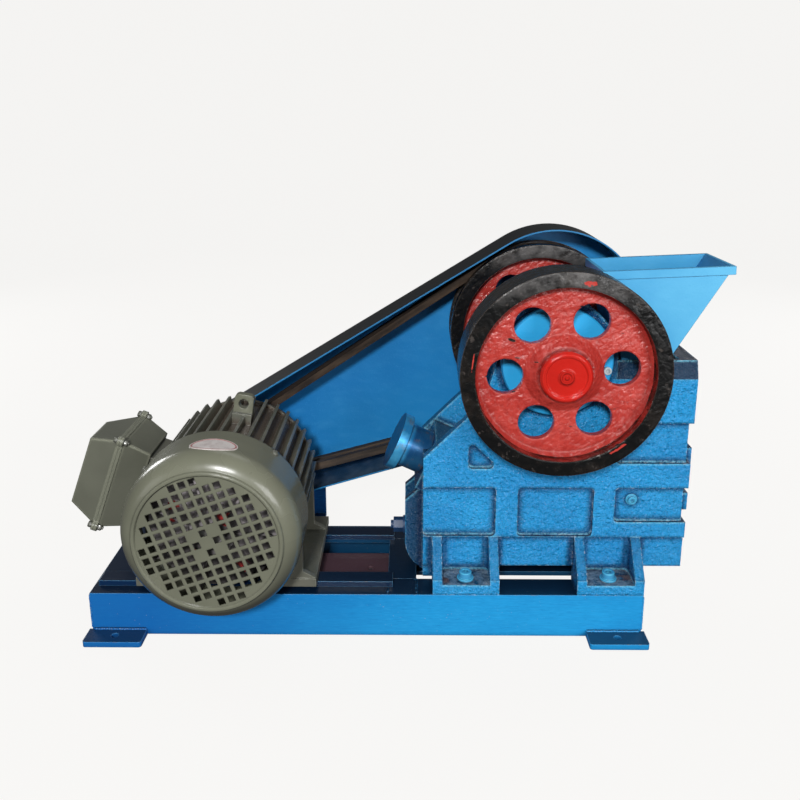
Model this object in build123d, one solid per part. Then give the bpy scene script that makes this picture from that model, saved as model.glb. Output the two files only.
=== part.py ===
from build123d import *
import math
import os

# Jaw crusher on a channel base with its motor and belt drive, in millimetres.
# X runs along the base from the motor to the feed end, Y away from the flywheel side, Z up.
# The origin is on the floor, at the centre of the four anchor holes.

# Base
base_length = 760.0
base_width = 192.0
channel_height = 63.0
channel_flange = 40.0
channel_web = 5.0
channel_flange_thickness = 7.0
channel_root_radius = 5.0
middle_member_x = 30.0
centre_bar_width = 55.0
centre_bar_height = 20.0
centre_bar_wall = 4.0
centre_bar_y = 6.0
centre_bar_hole = 9.0
centre_bar_hole_inset = 27.0
foot_plate_length = 80.0
foot_plate_reach = 30.0
foot_plate_thickness = 8.0
foot_plate_overhang = 4.0
foot_plate_corner = 4.0
anchor_hole = 10.0

# Motor
motor_x = -192.0
motor_rail_inset = 7.0
motor_rail_overlap = 7.0
motor_rail_y = 64.5
motor_rail_width = 25.0
motor_rail_thickness = 8.0
motor_shaft_height = 112.0
motor_foot_spacing = 140.0
motor_foot_length = 180.0
motor_foot_reach = 124.0
motor_foot_inner = 62.0
motor_foot_thickness = 12.0
motor_foot_waist = 106.0
motor_foot_rise = 22.0
motor_web_thickness = 9.0
motor_web_inset = 22.0
motor_barrel_radius = 96.0
motor_barrel_bore = 84.0
motor_frame_length = 160.0
fin_count = 36
fin_height = 13.0
fin_thickness = 4.0
shield_radius = 101.0
shield_thickness = 14.0
shield_drive_length = 16.0
shield_drive_edge = 6.0
shield_pulley_gap = 5.4
shield_nose_radius = 44.0
shield_lug_width = 16.0
motor_shaft_radius = 14.0
running_gap = 0.05
cowl_radius = 116.0
cowl_wall = 2.2
cowl_length = 84.0
cowl_edge_radius = 28.0
cowl_seat_gap = 0.2
cowl_ring_radius = 93.0
cowl_ring_width = 6.0
cowl_ring_height = 2.5
grille_pitch = 13.7
grille_hole = 9.2
grille_extent = 6.1
grille_turn = 19.0
fan_radius = 88.0
fan_hub_radius = 30.0
fan_length = 30.0
fan_gap = 22.0
fan_blades = 7
fan_blade_thickness = 3.0
lug_width = 27.0
lug_thickness = 11.0
lug_height = 27.0
lug_hole = 14.0
lug_angle = 81.5
lug_pad_height = 15.0

# Terminal box, on the motor's side away from the crusher
box_tilt = 20.6
box_y = 4.0
box_drop = 41.0
box_flange_distance = 164.0
box_length = 140.0
box_width = 104.0
box_lid_depth = 46.0
box_lid_end_length = 103.0
box_lid_end_width = 62.0
box_lid_shift = -4.0
box_base_depth = 42.0
box_base_taper = 12.0
box_flange_thickness = 4.0
box_wall = 3.0
box_neck_length = 62.0
box_neck_width = 72.0
box_ear_radius = 7.0
box_ear_hole = 5.0

# Crusher frame casting
frame_left = 79.0
frame_right = 436.0
frame_bottom = 84.0
frame_shoulder = 248.0
frame_top = 385.0
frame_half_width = 55.0
frame_inner_half = 46.0
band_relief = 5.0
ledge_height = 131.0
rear_wall = 16.0
end_wall = 18.0
rear_wall_drop = 62.0
shoulder_break_x = 136.0
shoulder_angle = 46.0
block_left = 252.0
block_bevel_height = 24.0
block_bevel_depth = 8.0
bearing_seat_radius = 82.0
bearing_bore_radius = 45.0
recess_corner = 6.0
low_recess_bottom = 132.0
low_recess_top = 205.0
low_recess_feed_bottom = 154.0
first_recess_right = 179.0
second_recess_left = 209.0
second_recess_right = 313.0
third_recess_left = 342.0
high_recess_left = 340.0
high_recess_bottom = 241.0
high_recess_top = 299.0
corner_recess_left = 140.0
corner_recess_right = 183.0
corner_recess_bottom = 233.0
corner_recess_top = 276.0
end_rib_reach = 6.0
end_rib_half = 43.0
end_rib_levels = (165.0, 232.0)
end_rib_height = 25.0
rear_rib_y = 24.0
rear_rib_thickness = 10.0
rear_rib_reach = 25.0
rear_rib_top = 196.0
rear_rib_round = 45.0
foot_width = 91.0
foot_rib = 13.0
foot_floor = 15.0
foot_left_x = 92.0
foot_bolt_hole = 13.0
foot_bolt_inset = 18.0
foot_face_height = 22.0
rod_boss_radius = 15.0

# Shaft, flywheel and sheave
shaft_x = 252.0
shaft_z = 388.0
shaft_radius = 20.0
eccentric_radius = 28.0
eccentric_throw = 6.0
eccentric_gap = 0.5
cover_radius = 73.0
cover_thickness = 14.0
cover_spigot_gap = 0.1
wheel_radius = 130.5
wheel_rim = 19.0
wheel_width = 54.0
wheel_front = 135.0
wheel_web = 10.0
wheel_web_recess = 19.0
wheel_rim_foot = 5.0
hub_radius = 36.0
hub_foot_radius = 50.0
hub_setback = 8.0
hub_clearance = 5.0
hub_fit = 0.02
wheel_hole = 46.0
wheel_hole_circle = 72.9
wheel_hole_count = 6
wheel_hole_phase = 4.0
cap_radius = 32.5
cap_thickness = 12.0
cap_dish_radius = 26.5
cap_dish_depth = 2.5
cap_stud_radius = 10.0

# Belts
belt_count = 2
belt_width = 16.6
belt_thickness = 10.0
belt_angle = 18.0
belt_pitch = 19.0
belt_sink = 0.5
belt_gap = 0.3
groove_land = 1.8
groove_floor_gap = 2.5
pulley_radius = 52.0

# Jaws
jaw_half_width = 40.0
jaw_plate_thickness = 14.0
jaw_plate_top = 376.0
jaw_plate_bottom = 98.0
jaw_gape = 60.0
jaw_setting = 12.0
tooth_pitch = 10.0
tooth_height = 5.0
cheek_thickness = 5.0
cheek_left = 322.0
cheek_top = 384.0
swing_barrel_radius = 46.0

# Toggle and adjustment, along one inclined axis
toggle_start_x = 39.0
toggle_start_z = 251.5
toggle_angle = 24.8
cap_flange_radius = 40.5
cap_flange_thickness = 13.0
adjusting_cap_radius = 31.0
housing_start = 48.0
housing_end = 106.0
housing_half_height = 36.0
ram_radius = 25.0
ram_gap = 0.1
toggle_seat_start = 162.0
toggle_seat_end = 285.0
toggle_thickness = 14.0
toggle_half_width = 36.0
toggle_gap = 0.3
rod_radius = 6.0
rod_z = 118.0
rod_gap = 0.5
rod_end_x = 322.0
nut_flats = 19.0
nut_length = 14.0
washer_radius = 13.0
washer_thickness = 3.0
rod_tail = 4.0

# Hopper
hopper_wall = 3.0
hopper_mouth_left = 310.0
hopper_mouth_right = 478.0
hopper_mouth_low = 504.0
hopper_mouth_high = 511.0
hopper_mouth_half = 50.5
hopper_foot_left = 341.0
hopper_foot_right = 403.0
hopper_band = 11.0
hopper_band_proud = 2.5

# Belt guard
guard_plate = 2.0
guard_depth = 76.0
guard_clearance = 25.0
guard_upper_x = 21.0
guard_upper_z = 20.5
guard_upper_grow = 1.0
guard_lower_x = 28.0
guard_lower_z = -2.5
guard_lower_grow = 7.5
guard_pulley_radius = 80.0
guard_opening_radius = 57.0
bracket_x = -100.0
bracket_width = 40.0
bracket_thickness = 6.0
bracket_drop = 18.0
bracket_top = 215.0
stay_x = 397.0
stay_z = 350.0
stay_radius = 8.0

# Places worked out from the sizes above
half_length = base_length / 2
half_width = base_width / 2
motor_z = channel_height + motor_rail_thickness + motor_shaft_height
frame_outer_half = frame_half_width + band_relief
wheel_back = wheel_front - wheel_width
sheave_back = wheel_back + wheel_width
pulley_front = sheave_back - 2 * groove_land - belt_pitch * belt_count
belt_y = [pulley_front + groove_land + belt_pitch / 2 + belt_pitch * n for n in range(belt_count)]
motor_back = pulley_front - shield_pulley_gap - shield_drive_length
motor_front = motor_back - motor_frame_length
cowl_face = motor_front - cowl_length
belt_wheel_radius = wheel_radius - belt_sink
belt_pulley_radius = pulley_radius - belt_sink
groove_slope = math.tan(math.radians(belt_angle))
groove_top = belt_width + 2 * (belt_gap / math.cos(math.radians(belt_angle)) + belt_sink * groove_slope)
groove_depth = belt_sink + belt_thickness + groove_floor_gap
guard_far = sheave_back + guard_clearance
shaft_end_y = sheave_back + 1.0
fixed_face_x = frame_right - end_wall - jaw_plate_thickness
moving_top_x = fixed_face_x - jaw_gape
moving_bottom_x = fixed_face_x - jaw_setting
foot_right_x = half_length - foot_width


def side_plane(y):
    """Plane at depth y whose sketch reads as seen from the flywheel side, extruding forwards."""
    return Plane(origin=(0, y, 0), x_dir=(1, 0, 0), z_dir=(0, -1, 0))


def slab(sketch, y_low, y_high):
    """An outline drawn in X and Z, given its thickness in Y."""
    return extrude(side_plane(y_high) * sketch, amount=y_high - y_low)


def area(points):
    """Closed face through the given points."""
    return make_face(Polyline(*points, close=True))


def window(x_low, x_high, z_low, z_high):
    """Rectangle in X and Z by its limits."""
    return Pos((x_low + x_high) / 2, (z_low + z_high) / 2) * Rectangle(x_high - x_low, z_high - z_low)


def block(x_low, x_high, y_low, y_high, z_low, z_high):
    """Box by its limits."""
    centre = ((x_low + x_high) / 2, (y_low + y_high) / 2, (z_low + z_high) / 2)
    return Pos(*centre) * Box(x_high - x_low, y_high - y_low, z_high - z_low)


def rod_y(x, z, radius, y_low, y_high):
    """Round bar along Y."""
    return Pos(x, (y_low + y_high) / 2, z) * Rot(90, 0, 0) * Cylinder(radius, y_high - y_low)


def rod_x(y, z, radius, x_low, x_high):
    """Round bar along X."""
    return Pos((x_low + x_high) / 2, y, z) * Rot(0, 90, 0) * Cylinder(radius, x_high - x_low)


def turned(points, x, z):
    """Body turned about an axis along Y, from points of radius and Y."""
    return Pos(x, 0, z) * revolve(area(points), Axis.Y)


def single(shape):
    """The one solid of a shape."""
    return shape.solids().sort_by(SortBy.VOLUME)[-1]


# Base frame

def channel_section(reach):
    """Channel outline: web on the left, flanges to the right, sitting on zero."""
    outer = window(0, reach, 0, channel_height)
    inner = window(channel_web, reach + 1, channel_flange_thickness, channel_height - channel_flange_thickness)
    roots = inner.vertices().group_by(Axis.X)[0]
    return outer - fillet(roots, channel_root_radius)


def long_channel(side):
    """Channel along the base with its web outwards; side is -1 at the front and 1 at the rear."""
    plane = Plane(origin=(-half_length, 0, 0), x_dir=(0, 1, 0), z_dir=(1, 0, 0))
    bar = extrude(plane * channel_section(channel_flange), amount=base_length)
    bar = Pos(0, -half_width, 0) * bar
    for left in (foot_left_x, foot_right_x):
        bar -= Pos(left + foot_width / 2, -half_width + foot_bolt_inset, channel_height) * Cylinder(
            foot_bolt_hole / 2, 4 * channel_flange_thickness)
    return bar if side < 0 else mirror(bar, Plane.XZ)


def cross_member(x_web, direction):
    """Channel across the base, coped at its ends to fit between the long channels' flanges."""
    bar = extrude(Plane(origin=(0, half_width, 0), x_dir=(1, 0, 0), z_dir=(0, -1, 0))
                  * channel_section(channel_flange), amount=base_width)
    if direction < 0:
        bar = mirror(bar, Plane.YZ)
    bar = Pos(x_web, 0, 0) * bar
    web_face = half_width - channel_web
    tips = half_width - channel_flange
    inner = channel_height - channel_flange_thickness
    keep = block(-base_length, base_length, -tips, tips, 0, channel_height)
    cope_low = channel_flange_thickness + channel_root_radius
    cope_high = inner - channel_root_radius
    keep += block(-base_length, base_length, -web_face, web_face, cope_low, cope_high)
    return bar & keep


def centre_bar():
    """Shallow channel lying between the end member and the middle member."""
    start = -half_length + channel_web
    top = channel_height - channel_flange_thickness - channel_root_radius
    low = top - centre_bar_height
    half = centre_bar_width / 2
    bar = block(start, middle_member_x, centre_bar_y - half, centre_bar_y + half, low, top)
    hollow = half - centre_bar_wall
    bar -= block(start, middle_member_x, centre_bar_y - hollow, centre_bar_y + hollow, low, top - centre_bar_wall)
    hole_x = middle_member_x - centre_bar_hole_inset
    bar -= Pos(hole_x, centre_bar_y - half / 2, top) * Cylinder(centre_bar_hole / 2, 4 * centre_bar_wall)
    return bar


def foot_plate(end, side):
    """Anchor plate welded to a channel's web at one corner of the base."""
    plate = Box(foot_plate_length, foot_plate_reach, foot_plate_thickness)
    outer = plate.edges().filter_by(Axis.Z).group_by(Axis.Y)[-1]
    plate = fillet(outer, foot_plate_corner)
    plate -= Cylinder(anchor_hole / 2, 2 * foot_plate_thickness)
    x = end * (half_length + foot_plate_overhang - foot_plate_length / 2)
    y = half_width + foot_plate_reach / 2
    plate = Pos(x, y, foot_plate_thickness / 2) * plate
    return plate if side > 0 else mirror(plate, Plane.XZ)


def motor_rail(side):
    """Flat bar on a channel's flange, under the motor's feet."""
    y = side * motor_rail_y
    half = motor_rail_width / 2
    return block(-half_length + motor_rail_inset, middle_member_x + motor_rail_overlap, y - half, y + half,
                 channel_height, channel_height + motor_rail_thickness)


# Crusher frame

def toggle_point(distance, offset=0.0):
    """Point on the toggle's inclined axis, or offset square to it."""
    turn = math.radians(toggle_angle)
    x = toggle_start_x + distance * math.cos(turn) + offset * math.sin(turn)
    z = toggle_start_z - distance * math.sin(turn) + offset * math.cos(turn)
    return (x, z)


def toggle_bar(radius, start, end):
    """Round bar along the toggle's axis."""
    x, z = toggle_point((start + end) / 2)
    return Pos(x, 0, z) * Rot(0, 90 + toggle_angle, 0) * Cylinder(radius, end - start)


def frame_outline():
    """Side view of the frame: low body, sloping shoulder, bearing seat and feed block."""
    rise = shoulder_break_x - frame_left
    knee = (shoulder_break_x, frame_shoulder + rise)
    seat_end = (shaft_x - bearing_seat_radius + 1.5, shaft_z - 15.0)
    turn = math.radians(shoulder_angle)
    arc = TangentArc(knee, seat_end, tangent=(math.cos(turn), math.sin(turn)))
    rest = Polyline(seat_end, (shaft_x, shaft_z), (block_left, frame_bottom), (frame_left, frame_bottom),
                    (frame_left, frame_shoulder), knee)
    low = make_face(Curve() + [arc, rest])
    seat = Pos(shaft_x, shaft_z) * Circle(bearing_seat_radius)
    return low + window(block_left - 1, frame_right, frame_bottom, frame_top) + seat


def recess_outlines():
    """Sunk panels of the side walls, seen from the side."""
    far = frame_right + 2 * band_relief
    near = frame_left - 1
    panels = [
        window(near, first_recess_right, low_recess_bottom, low_recess_top),
        window(second_recess_left, second_recess_right, low_recess_bottom, low_recess_top),
        window(third_recess_left, far, low_recess_feed_bottom, low_recess_top),
        window(high_recess_left, far, high_recess_bottom, high_recess_top),
    ]
    corner = area([(corner_recess_left, corner_recess_bottom), (corner_recess_right, corner_recess_bottom),
                   (corner_recess_left, corner_recess_top)])
    panels.append(corner)
    return [fillet(panel.vertices(), recess_corner) for panel in panels]


def frame_foot(left):
    """Pocketed foot on the front side: floor, two sloping ribs and a bolt hole."""
    wall = frame_outer_half - band_relief
    side_view = [(-wall + 1, channel_height), (-half_width, channel_height),
                 (-half_width, channel_height + foot_face_height), (-frame_outer_half, ledge_height),
                 (-wall + 1, ledge_height)]
    plane = Plane(origin=(left, 0, 0), x_dir=(0, 1, 0), z_dir=(1, 0, 0))
    foot = extrude(plane * area(side_view), amount=foot_width)
    top = ledge_height + 10
    pocket = block(left + foot_rib, left + foot_width - foot_rib, -half_width - 1, -wall,
                   channel_height + foot_floor, top)
    upright = pocket.edges().filter_by(Axis.Z).group_by(Axis.Y)[-1]
    foot -= fillet(upright, recess_corner)
    hole = Cylinder(foot_bolt_hole / 2, 4 * foot_floor)
    return foot - Pos(left + foot_width / 2, -half_width + foot_bolt_inset, channel_height) * hole


def rear_rib(y):
    """Curved rib on the outside of the rear wall, running down between the channels."""
    reach = frame_left - rear_rib_reach
    top = (frame_left + 2, rear_rib_top)
    crest = (reach, rear_rib_top - rear_rib_reach)
    low = (reach, rear_wall_drop + rear_rib_round)
    toe = (frame_left + 2, rear_wall_drop)
    edges = [Line(top, crest), Line(crest, low), TangentArc(low, toe, tangent=(0, -1)), Line(toe, top)]
    return slab(make_face(Curve() + edges), y - rear_rib_thickness / 2, y + rear_rib_thickness / 2)


def crusher_frame():
    """Main casting, open at the top and bottom, with four feet."""
    outline = frame_outline()
    body = slab(outline, -frame_half_width, frame_half_width)
    bands = slab(outline, -frame_outer_half, frame_outer_half)
    bands += block(frame_right - 1, frame_right + band_relief, -frame_outer_half, frame_outer_half,
                   frame_bottom, frame_top)
    for panel in recess_outlines():
        bands -= slab(panel, -frame_outer_half - 1, -frame_half_width)
        bands -= slab(panel, frame_half_width, frame_outer_half + 1)
    for side in (-1, 1):
        below = sorted((side * frame_half_width, side * (frame_outer_half + 1)))
        bands -= block(frame_left - 1, frame_right + 2 * band_relief, *below, frame_bottom - 1, ledge_height)
    for low, high in ((low_recess_feed_bottom, low_recess_top), (high_recess_bottom, high_recess_top)):
        bands -= block(frame_right, frame_right + 2 * band_relief, -frame_outer_half, frame_outer_half, low, high)
    body += bands
    for level in end_rib_levels:
        body += block(frame_right - 1, frame_right + band_relief + end_rib_reach,
                      -end_rib_half, end_rib_half, level, level + end_rib_height)
    body += block(frame_left, frame_left + rear_wall, -frame_inner_half - 1, frame_inner_half + 1,
                  rear_wall_drop, frame_shoulder)
    for y in (-rear_rib_y, rear_rib_y):
        body += rear_rib(y)
    body += rod_x(0, rod_z, rod_boss_radius, frame_left - rear_rib_reach, frame_left + 1)
    inner_left = frame_left + rear_wall
    inner_right = frame_right - end_wall
    tall = shaft_z + 2 * bearing_seat_radius
    body -= block(inner_left, inner_right, -frame_inner_half, frame_inner_half, frame_bottom - 2, tall)
    body -= block(frame_left - 1, inner_left, -frame_inner_half, frame_inner_half, frame_shoulder, tall)
    corners = [toggle_point(housing_start, -housing_half_height), toggle_point(housing_end, -housing_half_height),
               toggle_point(housing_end, housing_half_height), toggle_point(housing_start, housing_half_height)]
    body += slab(area(corners), -frame_inner_half - 1, frame_inner_half + 1)
    body -= toggle_bar(ram_radius + ram_gap, housing_start - 1, housing_end + 10)
    body -= toggle_bar(adjusting_cap_radius + toggle_gap, 0, housing_start)
    body -= rod_x(0, rod_z, rod_radius + rod_gap, frame_left - rear_rib_reach - 1, inner_left + 1)
    body -= rod_y(shaft_x, shaft_z, bearing_bore_radius, -2 * frame_outer_half, 2 * frame_outer_half)
    for side in (-1, 1):
        bevel = [(side * (frame_outer_half + 1), frame_top - block_bevel_height),
                 (side * frame_outer_half, frame_top - block_bevel_height),
                 (side * (frame_outer_half - block_bevel_depth), frame_top),
                 (side * (frame_outer_half - block_bevel_depth), frame_top + 1),
                 (side * (frame_outer_half + 1), frame_top + 1)]
        plane = Plane(origin=(shaft_x + bearing_seat_radius, 0, 0), x_dir=(0, 1, 0), z_dir=(1, 0, 0))
        body -= extrude(plane * area(bevel), amount=frame_right)
    for left in (foot_left_x, foot_right_x):
        foot = frame_foot(left)
        body += foot
        body += mirror(foot, Plane.XZ)
    return body


def bearing_cover(side):
    """Round cover that carries the shaft, with its spigot in the side wall."""
    face = frame_outer_half + cover_thickness
    bore = shaft_radius + running_gap
    spigot = bearing_bore_radius - cover_spigot_gap
    edge = cover_thickness / 7
    cover = turned([(bore, frame_inner_half), (spigot, frame_inner_half), (spigot, frame_outer_half),
                    (cover_radius, frame_outer_half), (cover_radius, face - edge),
                    (cover_radius - edge, face), (bore, face)], shaft_x, shaft_z)
    return cover if side > 0 else mirror(cover, Plane.XZ)


# Rotating parts of the crusher

def eccentric_shaft():
    """Shaft with an eccentric middle that drives the swing jaw."""
    shaft = rod_y(shaft_x, shaft_z, shaft_radius, -wheel_front + hub_setback, shaft_end_y)
    middle = rod_y(shaft_x, shaft_z - eccentric_throw, eccentric_radius, -jaw_half_width, jaw_half_width)
    return shaft + middle


def wheel_holes(y_low, y_high):
    """Ring of lightening holes through a wheel's web."""
    holes = []
    for n in range(wheel_hole_count):
        turn = math.radians(wheel_hole_phase + 360 / wheel_hole_count * n)
        x = shaft_x + wheel_hole_circle * math.cos(turn)
        z = shaft_z + wheel_hole_circle * math.sin(turn)
        holes.append(rod_y(x, z, wheel_hole / 2, y_low, y_high))
    return holes


def flywheel_front():
    """Cast wheel with a heavy rim, a thin web and a tapered hub."""
    inner = wheel_radius - wheel_rim
    web_front = wheel_front - wheel_web_recess
    web_back = web_front - wheel_web
    hub_back = frame_outer_half + cover_thickness + hub_clearance
    bore = shaft_radius + hub_fit
    foot = inner - wheel_rim_foot
    wheel = turned([(bore, -hub_back), (hub_radius, -hub_back), (hub_radius, -web_back), (foot, -web_back),
                    (inner, -web_back + wheel_rim_foot), (inner, -wheel_back), (wheel_radius, -wheel_back),
                    (wheel_radius, -wheel_front), (inner, -wheel_front), (inner, -web_front - wheel_rim_foot),
                    (foot, -web_front), (hub_foot_radius, -web_front), (hub_radius, -wheel_front + hub_setback),
                    (bore, -wheel_front + hub_setback)], shaft_x, shaft_z)
    return wheel - wheel_holes(-wheel_front, -web_back + 1)


def grooves(outer, profile):
    """Profile with a V-groove cut for each belt into its outer edge."""
    for y in belt_y:
        half_top = groove_top / 2
        half_floor = half_top - groove_depth * groove_slope
        profile -= area([(outer, y - half_top), (outer - groove_depth, y - half_floor),
                         (outer - groove_depth, y + half_floor), (outer, y + half_top)])
    return profile


def flywheel_sheave():
    """Second wheel, with the belt grooves cut in the rear part of its rim."""
    inner = wheel_radius - wheel_rim
    web_front = wheel_back + wheel_web_recess
    web_back = web_front + wheel_web
    hub_front = frame_outer_half + cover_thickness + hub_clearance
    bore = shaft_radius + hub_fit
    foot = inner - wheel_rim_foot
    profile = area([(bore, hub_front), (hub_radius, hub_front), (hub_radius, web_front), (foot, web_front),
                    (inner, web_front - wheel_rim_foot), (inner, wheel_back), (wheel_radius, wheel_back),
                    (wheel_radius, sheave_back), (inner, sheave_back), (inner, web_back + wheel_rim_foot),
                    (foot, web_back), (hub_foot_radius, web_back), (hub_radius, sheave_back),
                    (bore, sheave_back)])
    profile = grooves(wheel_radius, profile)
    wheel = Pos(shaft_x, 0, shaft_z) * revolve(profile, Axis.Y)
    return wheel - wheel_holes(web_front - 1, web_back + 1)


def hub_cap():
    """Dished cap over the shaft's end with a small stud in its middle."""
    face = -wheel_front + hub_setback - cap_thickness
    back = -wheel_front + hub_setback
    dish = face + cap_dish_depth
    return turned([(0, back), (cap_radius, back), (cap_radius, face + 3), (cap_radius - 3, face),
                   (cap_dish_radius, face), (cap_dish_radius - 2, dish), (cap_stud_radius, dish),
                   (cap_stud_radius, face), (0, face)], shaft_x, shaft_z)


# Belt drive

def strand(start, turn, length):
    """Straight run of belt from a point, with its wide side on the left of its direction."""
    forward = (math.cos(turn), 0, math.sin(turn))
    half = belt_width / 2
    narrow = half - belt_thickness * groove_slope
    section = area([(-half, 0), (half, 0), (narrow, -belt_thickness), (-narrow, -belt_thickness)])
    return extrude(Plane(origin=start, x_dir=(0, 1, 0), z_dir=forward) * section, amount=length)


def wrap(x, z, radius, y, start_turn, angle):
    """Curved run of belt round a groove, clockwise as seen from the flywheel side."""
    half = belt_width / 2
    narrow = half - belt_thickness * groove_slope
    deep = radius - belt_thickness
    section = area([(radius, y - half), (radius, y + half), (deep, y + narrow), (deep, y - narrow)])
    curve = revolve(section, Axis.Y, math.degrees(angle))
    return Pos(x, 0, z) * Rot(0, -math.degrees(start_turn), 0) * curve


def belt(y):
    """V-belt, an endless loop of wedge section in one pair of grooves."""
    centres = math.hypot(shaft_x - motor_x, shaft_z - motor_z)
    lean = math.atan2(shaft_z - motor_z, shaft_x - motor_x)
    spread = math.asin((belt_wheel_radius - belt_pulley_radius) / centres)
    length = centres * math.cos(spread)
    quarter = math.pi / 2
    upper = lean + spread
    lower = lean - spread
    upper_start = (motor_x - belt_pulley_radius * math.sin(upper), y,
                   motor_z + belt_pulley_radius * math.cos(upper))
    lower_start = (shaft_x + belt_wheel_radius * math.sin(lower), y,
                   shaft_z - belt_wheel_radius * math.cos(lower))
    loop = strand(upper_start, upper, length)
    loop += wrap(shaft_x, shaft_z, belt_wheel_radius, y, upper + quarter, math.pi + 2 * spread)
    loop += strand(lower_start, lower + math.pi, length)
    loop += wrap(motor_x, motor_z, belt_pulley_radius, y, lower - quarter, math.pi - 2 * spread)
    return loop


def motor_pulley():
    """Small grooved pulley on the motor's shaft."""
    bore = motor_shaft_radius + hub_fit
    profile = area([(bore, pulley_front), (pulley_radius, pulley_front), (pulley_radius, sheave_back),
                    (bore, sheave_back)])
    return Pos(motor_x, 0, motor_z) * revolve(grooves(pulley_radius, profile), Axis.Y)


def guard_outline(inset=0.0):
    """Side view of the guard, wrapped round the pulley and the wheel's upper and lower halves."""
    upper = Pos(shaft_x + guard_upper_x, shaft_z + guard_upper_z) * Circle(wheel_radius + guard_upper_grow - inset)
    lower = Pos(shaft_x + guard_lower_x, shaft_z + guard_lower_z) * Circle(wheel_radius + guard_lower_grow - inset)
    pulley = Pos(motor_x, motor_z) * Circle(guard_pulley_radius - inset)
    return make_hull(upper.edges() + lower.edges() + pulley.edges())


def guard():
    """Belt guard: a plate behind the belts with a rim bent forward all round and an opening at the pulley."""
    tray = slab(guard_outline(), guard_far - guard_depth, guard_far + guard_plate)
    tray -= slab(guard_outline(guard_plate), guard_far - guard_depth - 1, guard_far)
    return tray - rod_y(motor_x, motor_z, guard_opening_radius, guard_far - 1, guard_far + guard_plate + 1)


def guard_bracket():
    """Bent flat bar from the rear channel's web up the back of the guard."""
    left = bracket_x - bracket_width / 2
    right = bracket_x + bracket_width / 2
    back = guard_far + guard_plate
    low = channel_height - bracket_drop
    foot = block(left, right, half_width, back + bracket_thickness, low, low + bracket_thickness)
    upright = block(left, right, back, back + bracket_thickness, low, bracket_top)
    return foot + upright


def guard_stay():
    """Spacer bar between the frame's rear wall and the guard plate."""
    return rod_y(stay_x, stay_z, stay_radius, frame_outer_half, guard_far)


# Jaws and toggle

def teeth(length):
    """Row of upright wedge teeth across the jaw, on a strip of the given height, pointing to +X."""
    count = int(2 * jaw_half_width / tooth_pitch)
    start = -tooth_pitch * count / 2
    points = [(-1, start), (0, start)]
    for n in range(count):
        points += [(tooth_height, start + tooth_pitch * (n + 0.5)), (0, start + tooth_pitch * (n + 1))]
    points.append((-1, -start))
    return extrude(area(points), amount=length)


def jaw_plate_fixed():
    """Toothed liner against the feed end wall."""
    back = frame_right - end_wall
    root = fixed_face_x + tooth_height
    plate = block(root, back, -jaw_half_width, jaw_half_width, jaw_plate_bottom, jaw_plate_top)
    row = Rot(0, 0, 180) * teeth(jaw_plate_top - jaw_plate_bottom)
    return plate + Pos(root, 0, jaw_plate_bottom) * row


def moving_lean():
    """Lean of the swing jaw's face from upright, in degrees."""
    return math.degrees(math.atan2(moving_bottom_x - moving_top_x, jaw_plate_top - jaw_plate_bottom))


def jaw_plate_moving():
    """Toothed liner on the swing jaw."""
    length = (jaw_plate_top - jaw_plate_bottom) / math.cos(math.radians(moving_lean()))
    body = jaw_plate_thickness - tooth_height
    plate = block(-jaw_plate_thickness, -tooth_height, -jaw_half_width, jaw_half_width, 0, length)
    plate += Pos(-tooth_height, 0, 0) * teeth(length)
    plate = fillet(plate.edges().filter_by(Axis.Y).group_by(Axis.X)[0], body / 4)
    return Pos(moving_bottom_x, 0, jaw_plate_bottom) * Rot(0, -moving_lean(), 0) * plate


def swing_jaw():
    """Cast jaw hung from the eccentric, with its toggle seat low on the back."""
    turn = math.radians(moving_lean())
    step_x = jaw_plate_thickness * math.cos(turn)
    step_z = jaw_plate_thickness * math.sin(turn)
    top = (moving_top_x - step_x, jaw_plate_top - step_z)
    toe = (moving_bottom_x - step_x, jaw_plate_bottom - step_z)
    seat_low = toggle_point(toggle_seat_end, -22)
    seat_high = toggle_point(toggle_seat_end, 26)
    waist = (seat_high[0] + 4, seat_high[1] + 70)
    shoulder = (shaft_x, shaft_z - swing_barrel_radius + 4)
    crown = (shaft_x + 20, shaft_z + swing_barrel_radius - 10)
    outline = area([top, toe, (seat_low[0] + 14, toe[1]), seat_low, seat_high, waist, shoulder, crown])
    outline += Pos(shaft_x, shaft_z) * Circle(swing_barrel_radius)
    jaw = slab(outline, -jaw_half_width, jaw_half_width)
    jaw -= rod_y(shaft_x, shaft_z, eccentric_radius + eccentric_throw + eccentric_gap,
                 -jaw_half_width - 1, jaw_half_width + 1)
    seat_x, seat_z = toggle_point(toggle_seat_end)
    jaw -= rod_y(seat_x, seat_z, toggle_thickness / 2 + toggle_gap, -jaw_half_width - 1, jaw_half_width + 1)
    return jaw - rod_x(0, rod_z, rod_radius, 0, rod_end_x)


def cheek_plate(side):
    """Side liner of the crushing chamber."""
    back = frame_right - end_wall
    low = moving_bottom_x - jaw_plate_thickness - 30
    points = [(cheek_left, cheek_top), (back, cheek_top), (back, jaw_plate_bottom), (low, jaw_plate_bottom)]
    inner = frame_inner_half - cheek_thickness
    plate = slab(area(points), inner, frame_inner_half)
    plate -= rod_y(shaft_x, shaft_z, bearing_seat_radius, 0, 2 * frame_inner_half)
    return plate if side > 0 else mirror(plate, Plane.XZ)


def toggle_plate():
    """Flat strut with rounded ends between the block and the jaw."""
    radius = toggle_thickness / 2
    start = toggle_point(toggle_seat_start)
    end = toggle_point(toggle_seat_end)
    ends = (Pos(*start) * Circle(radius)).edges() + (Pos(*end) * Circle(radius)).edges()
    return slab(make_hull(ends), -toggle_half_width, toggle_half_width)


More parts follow.
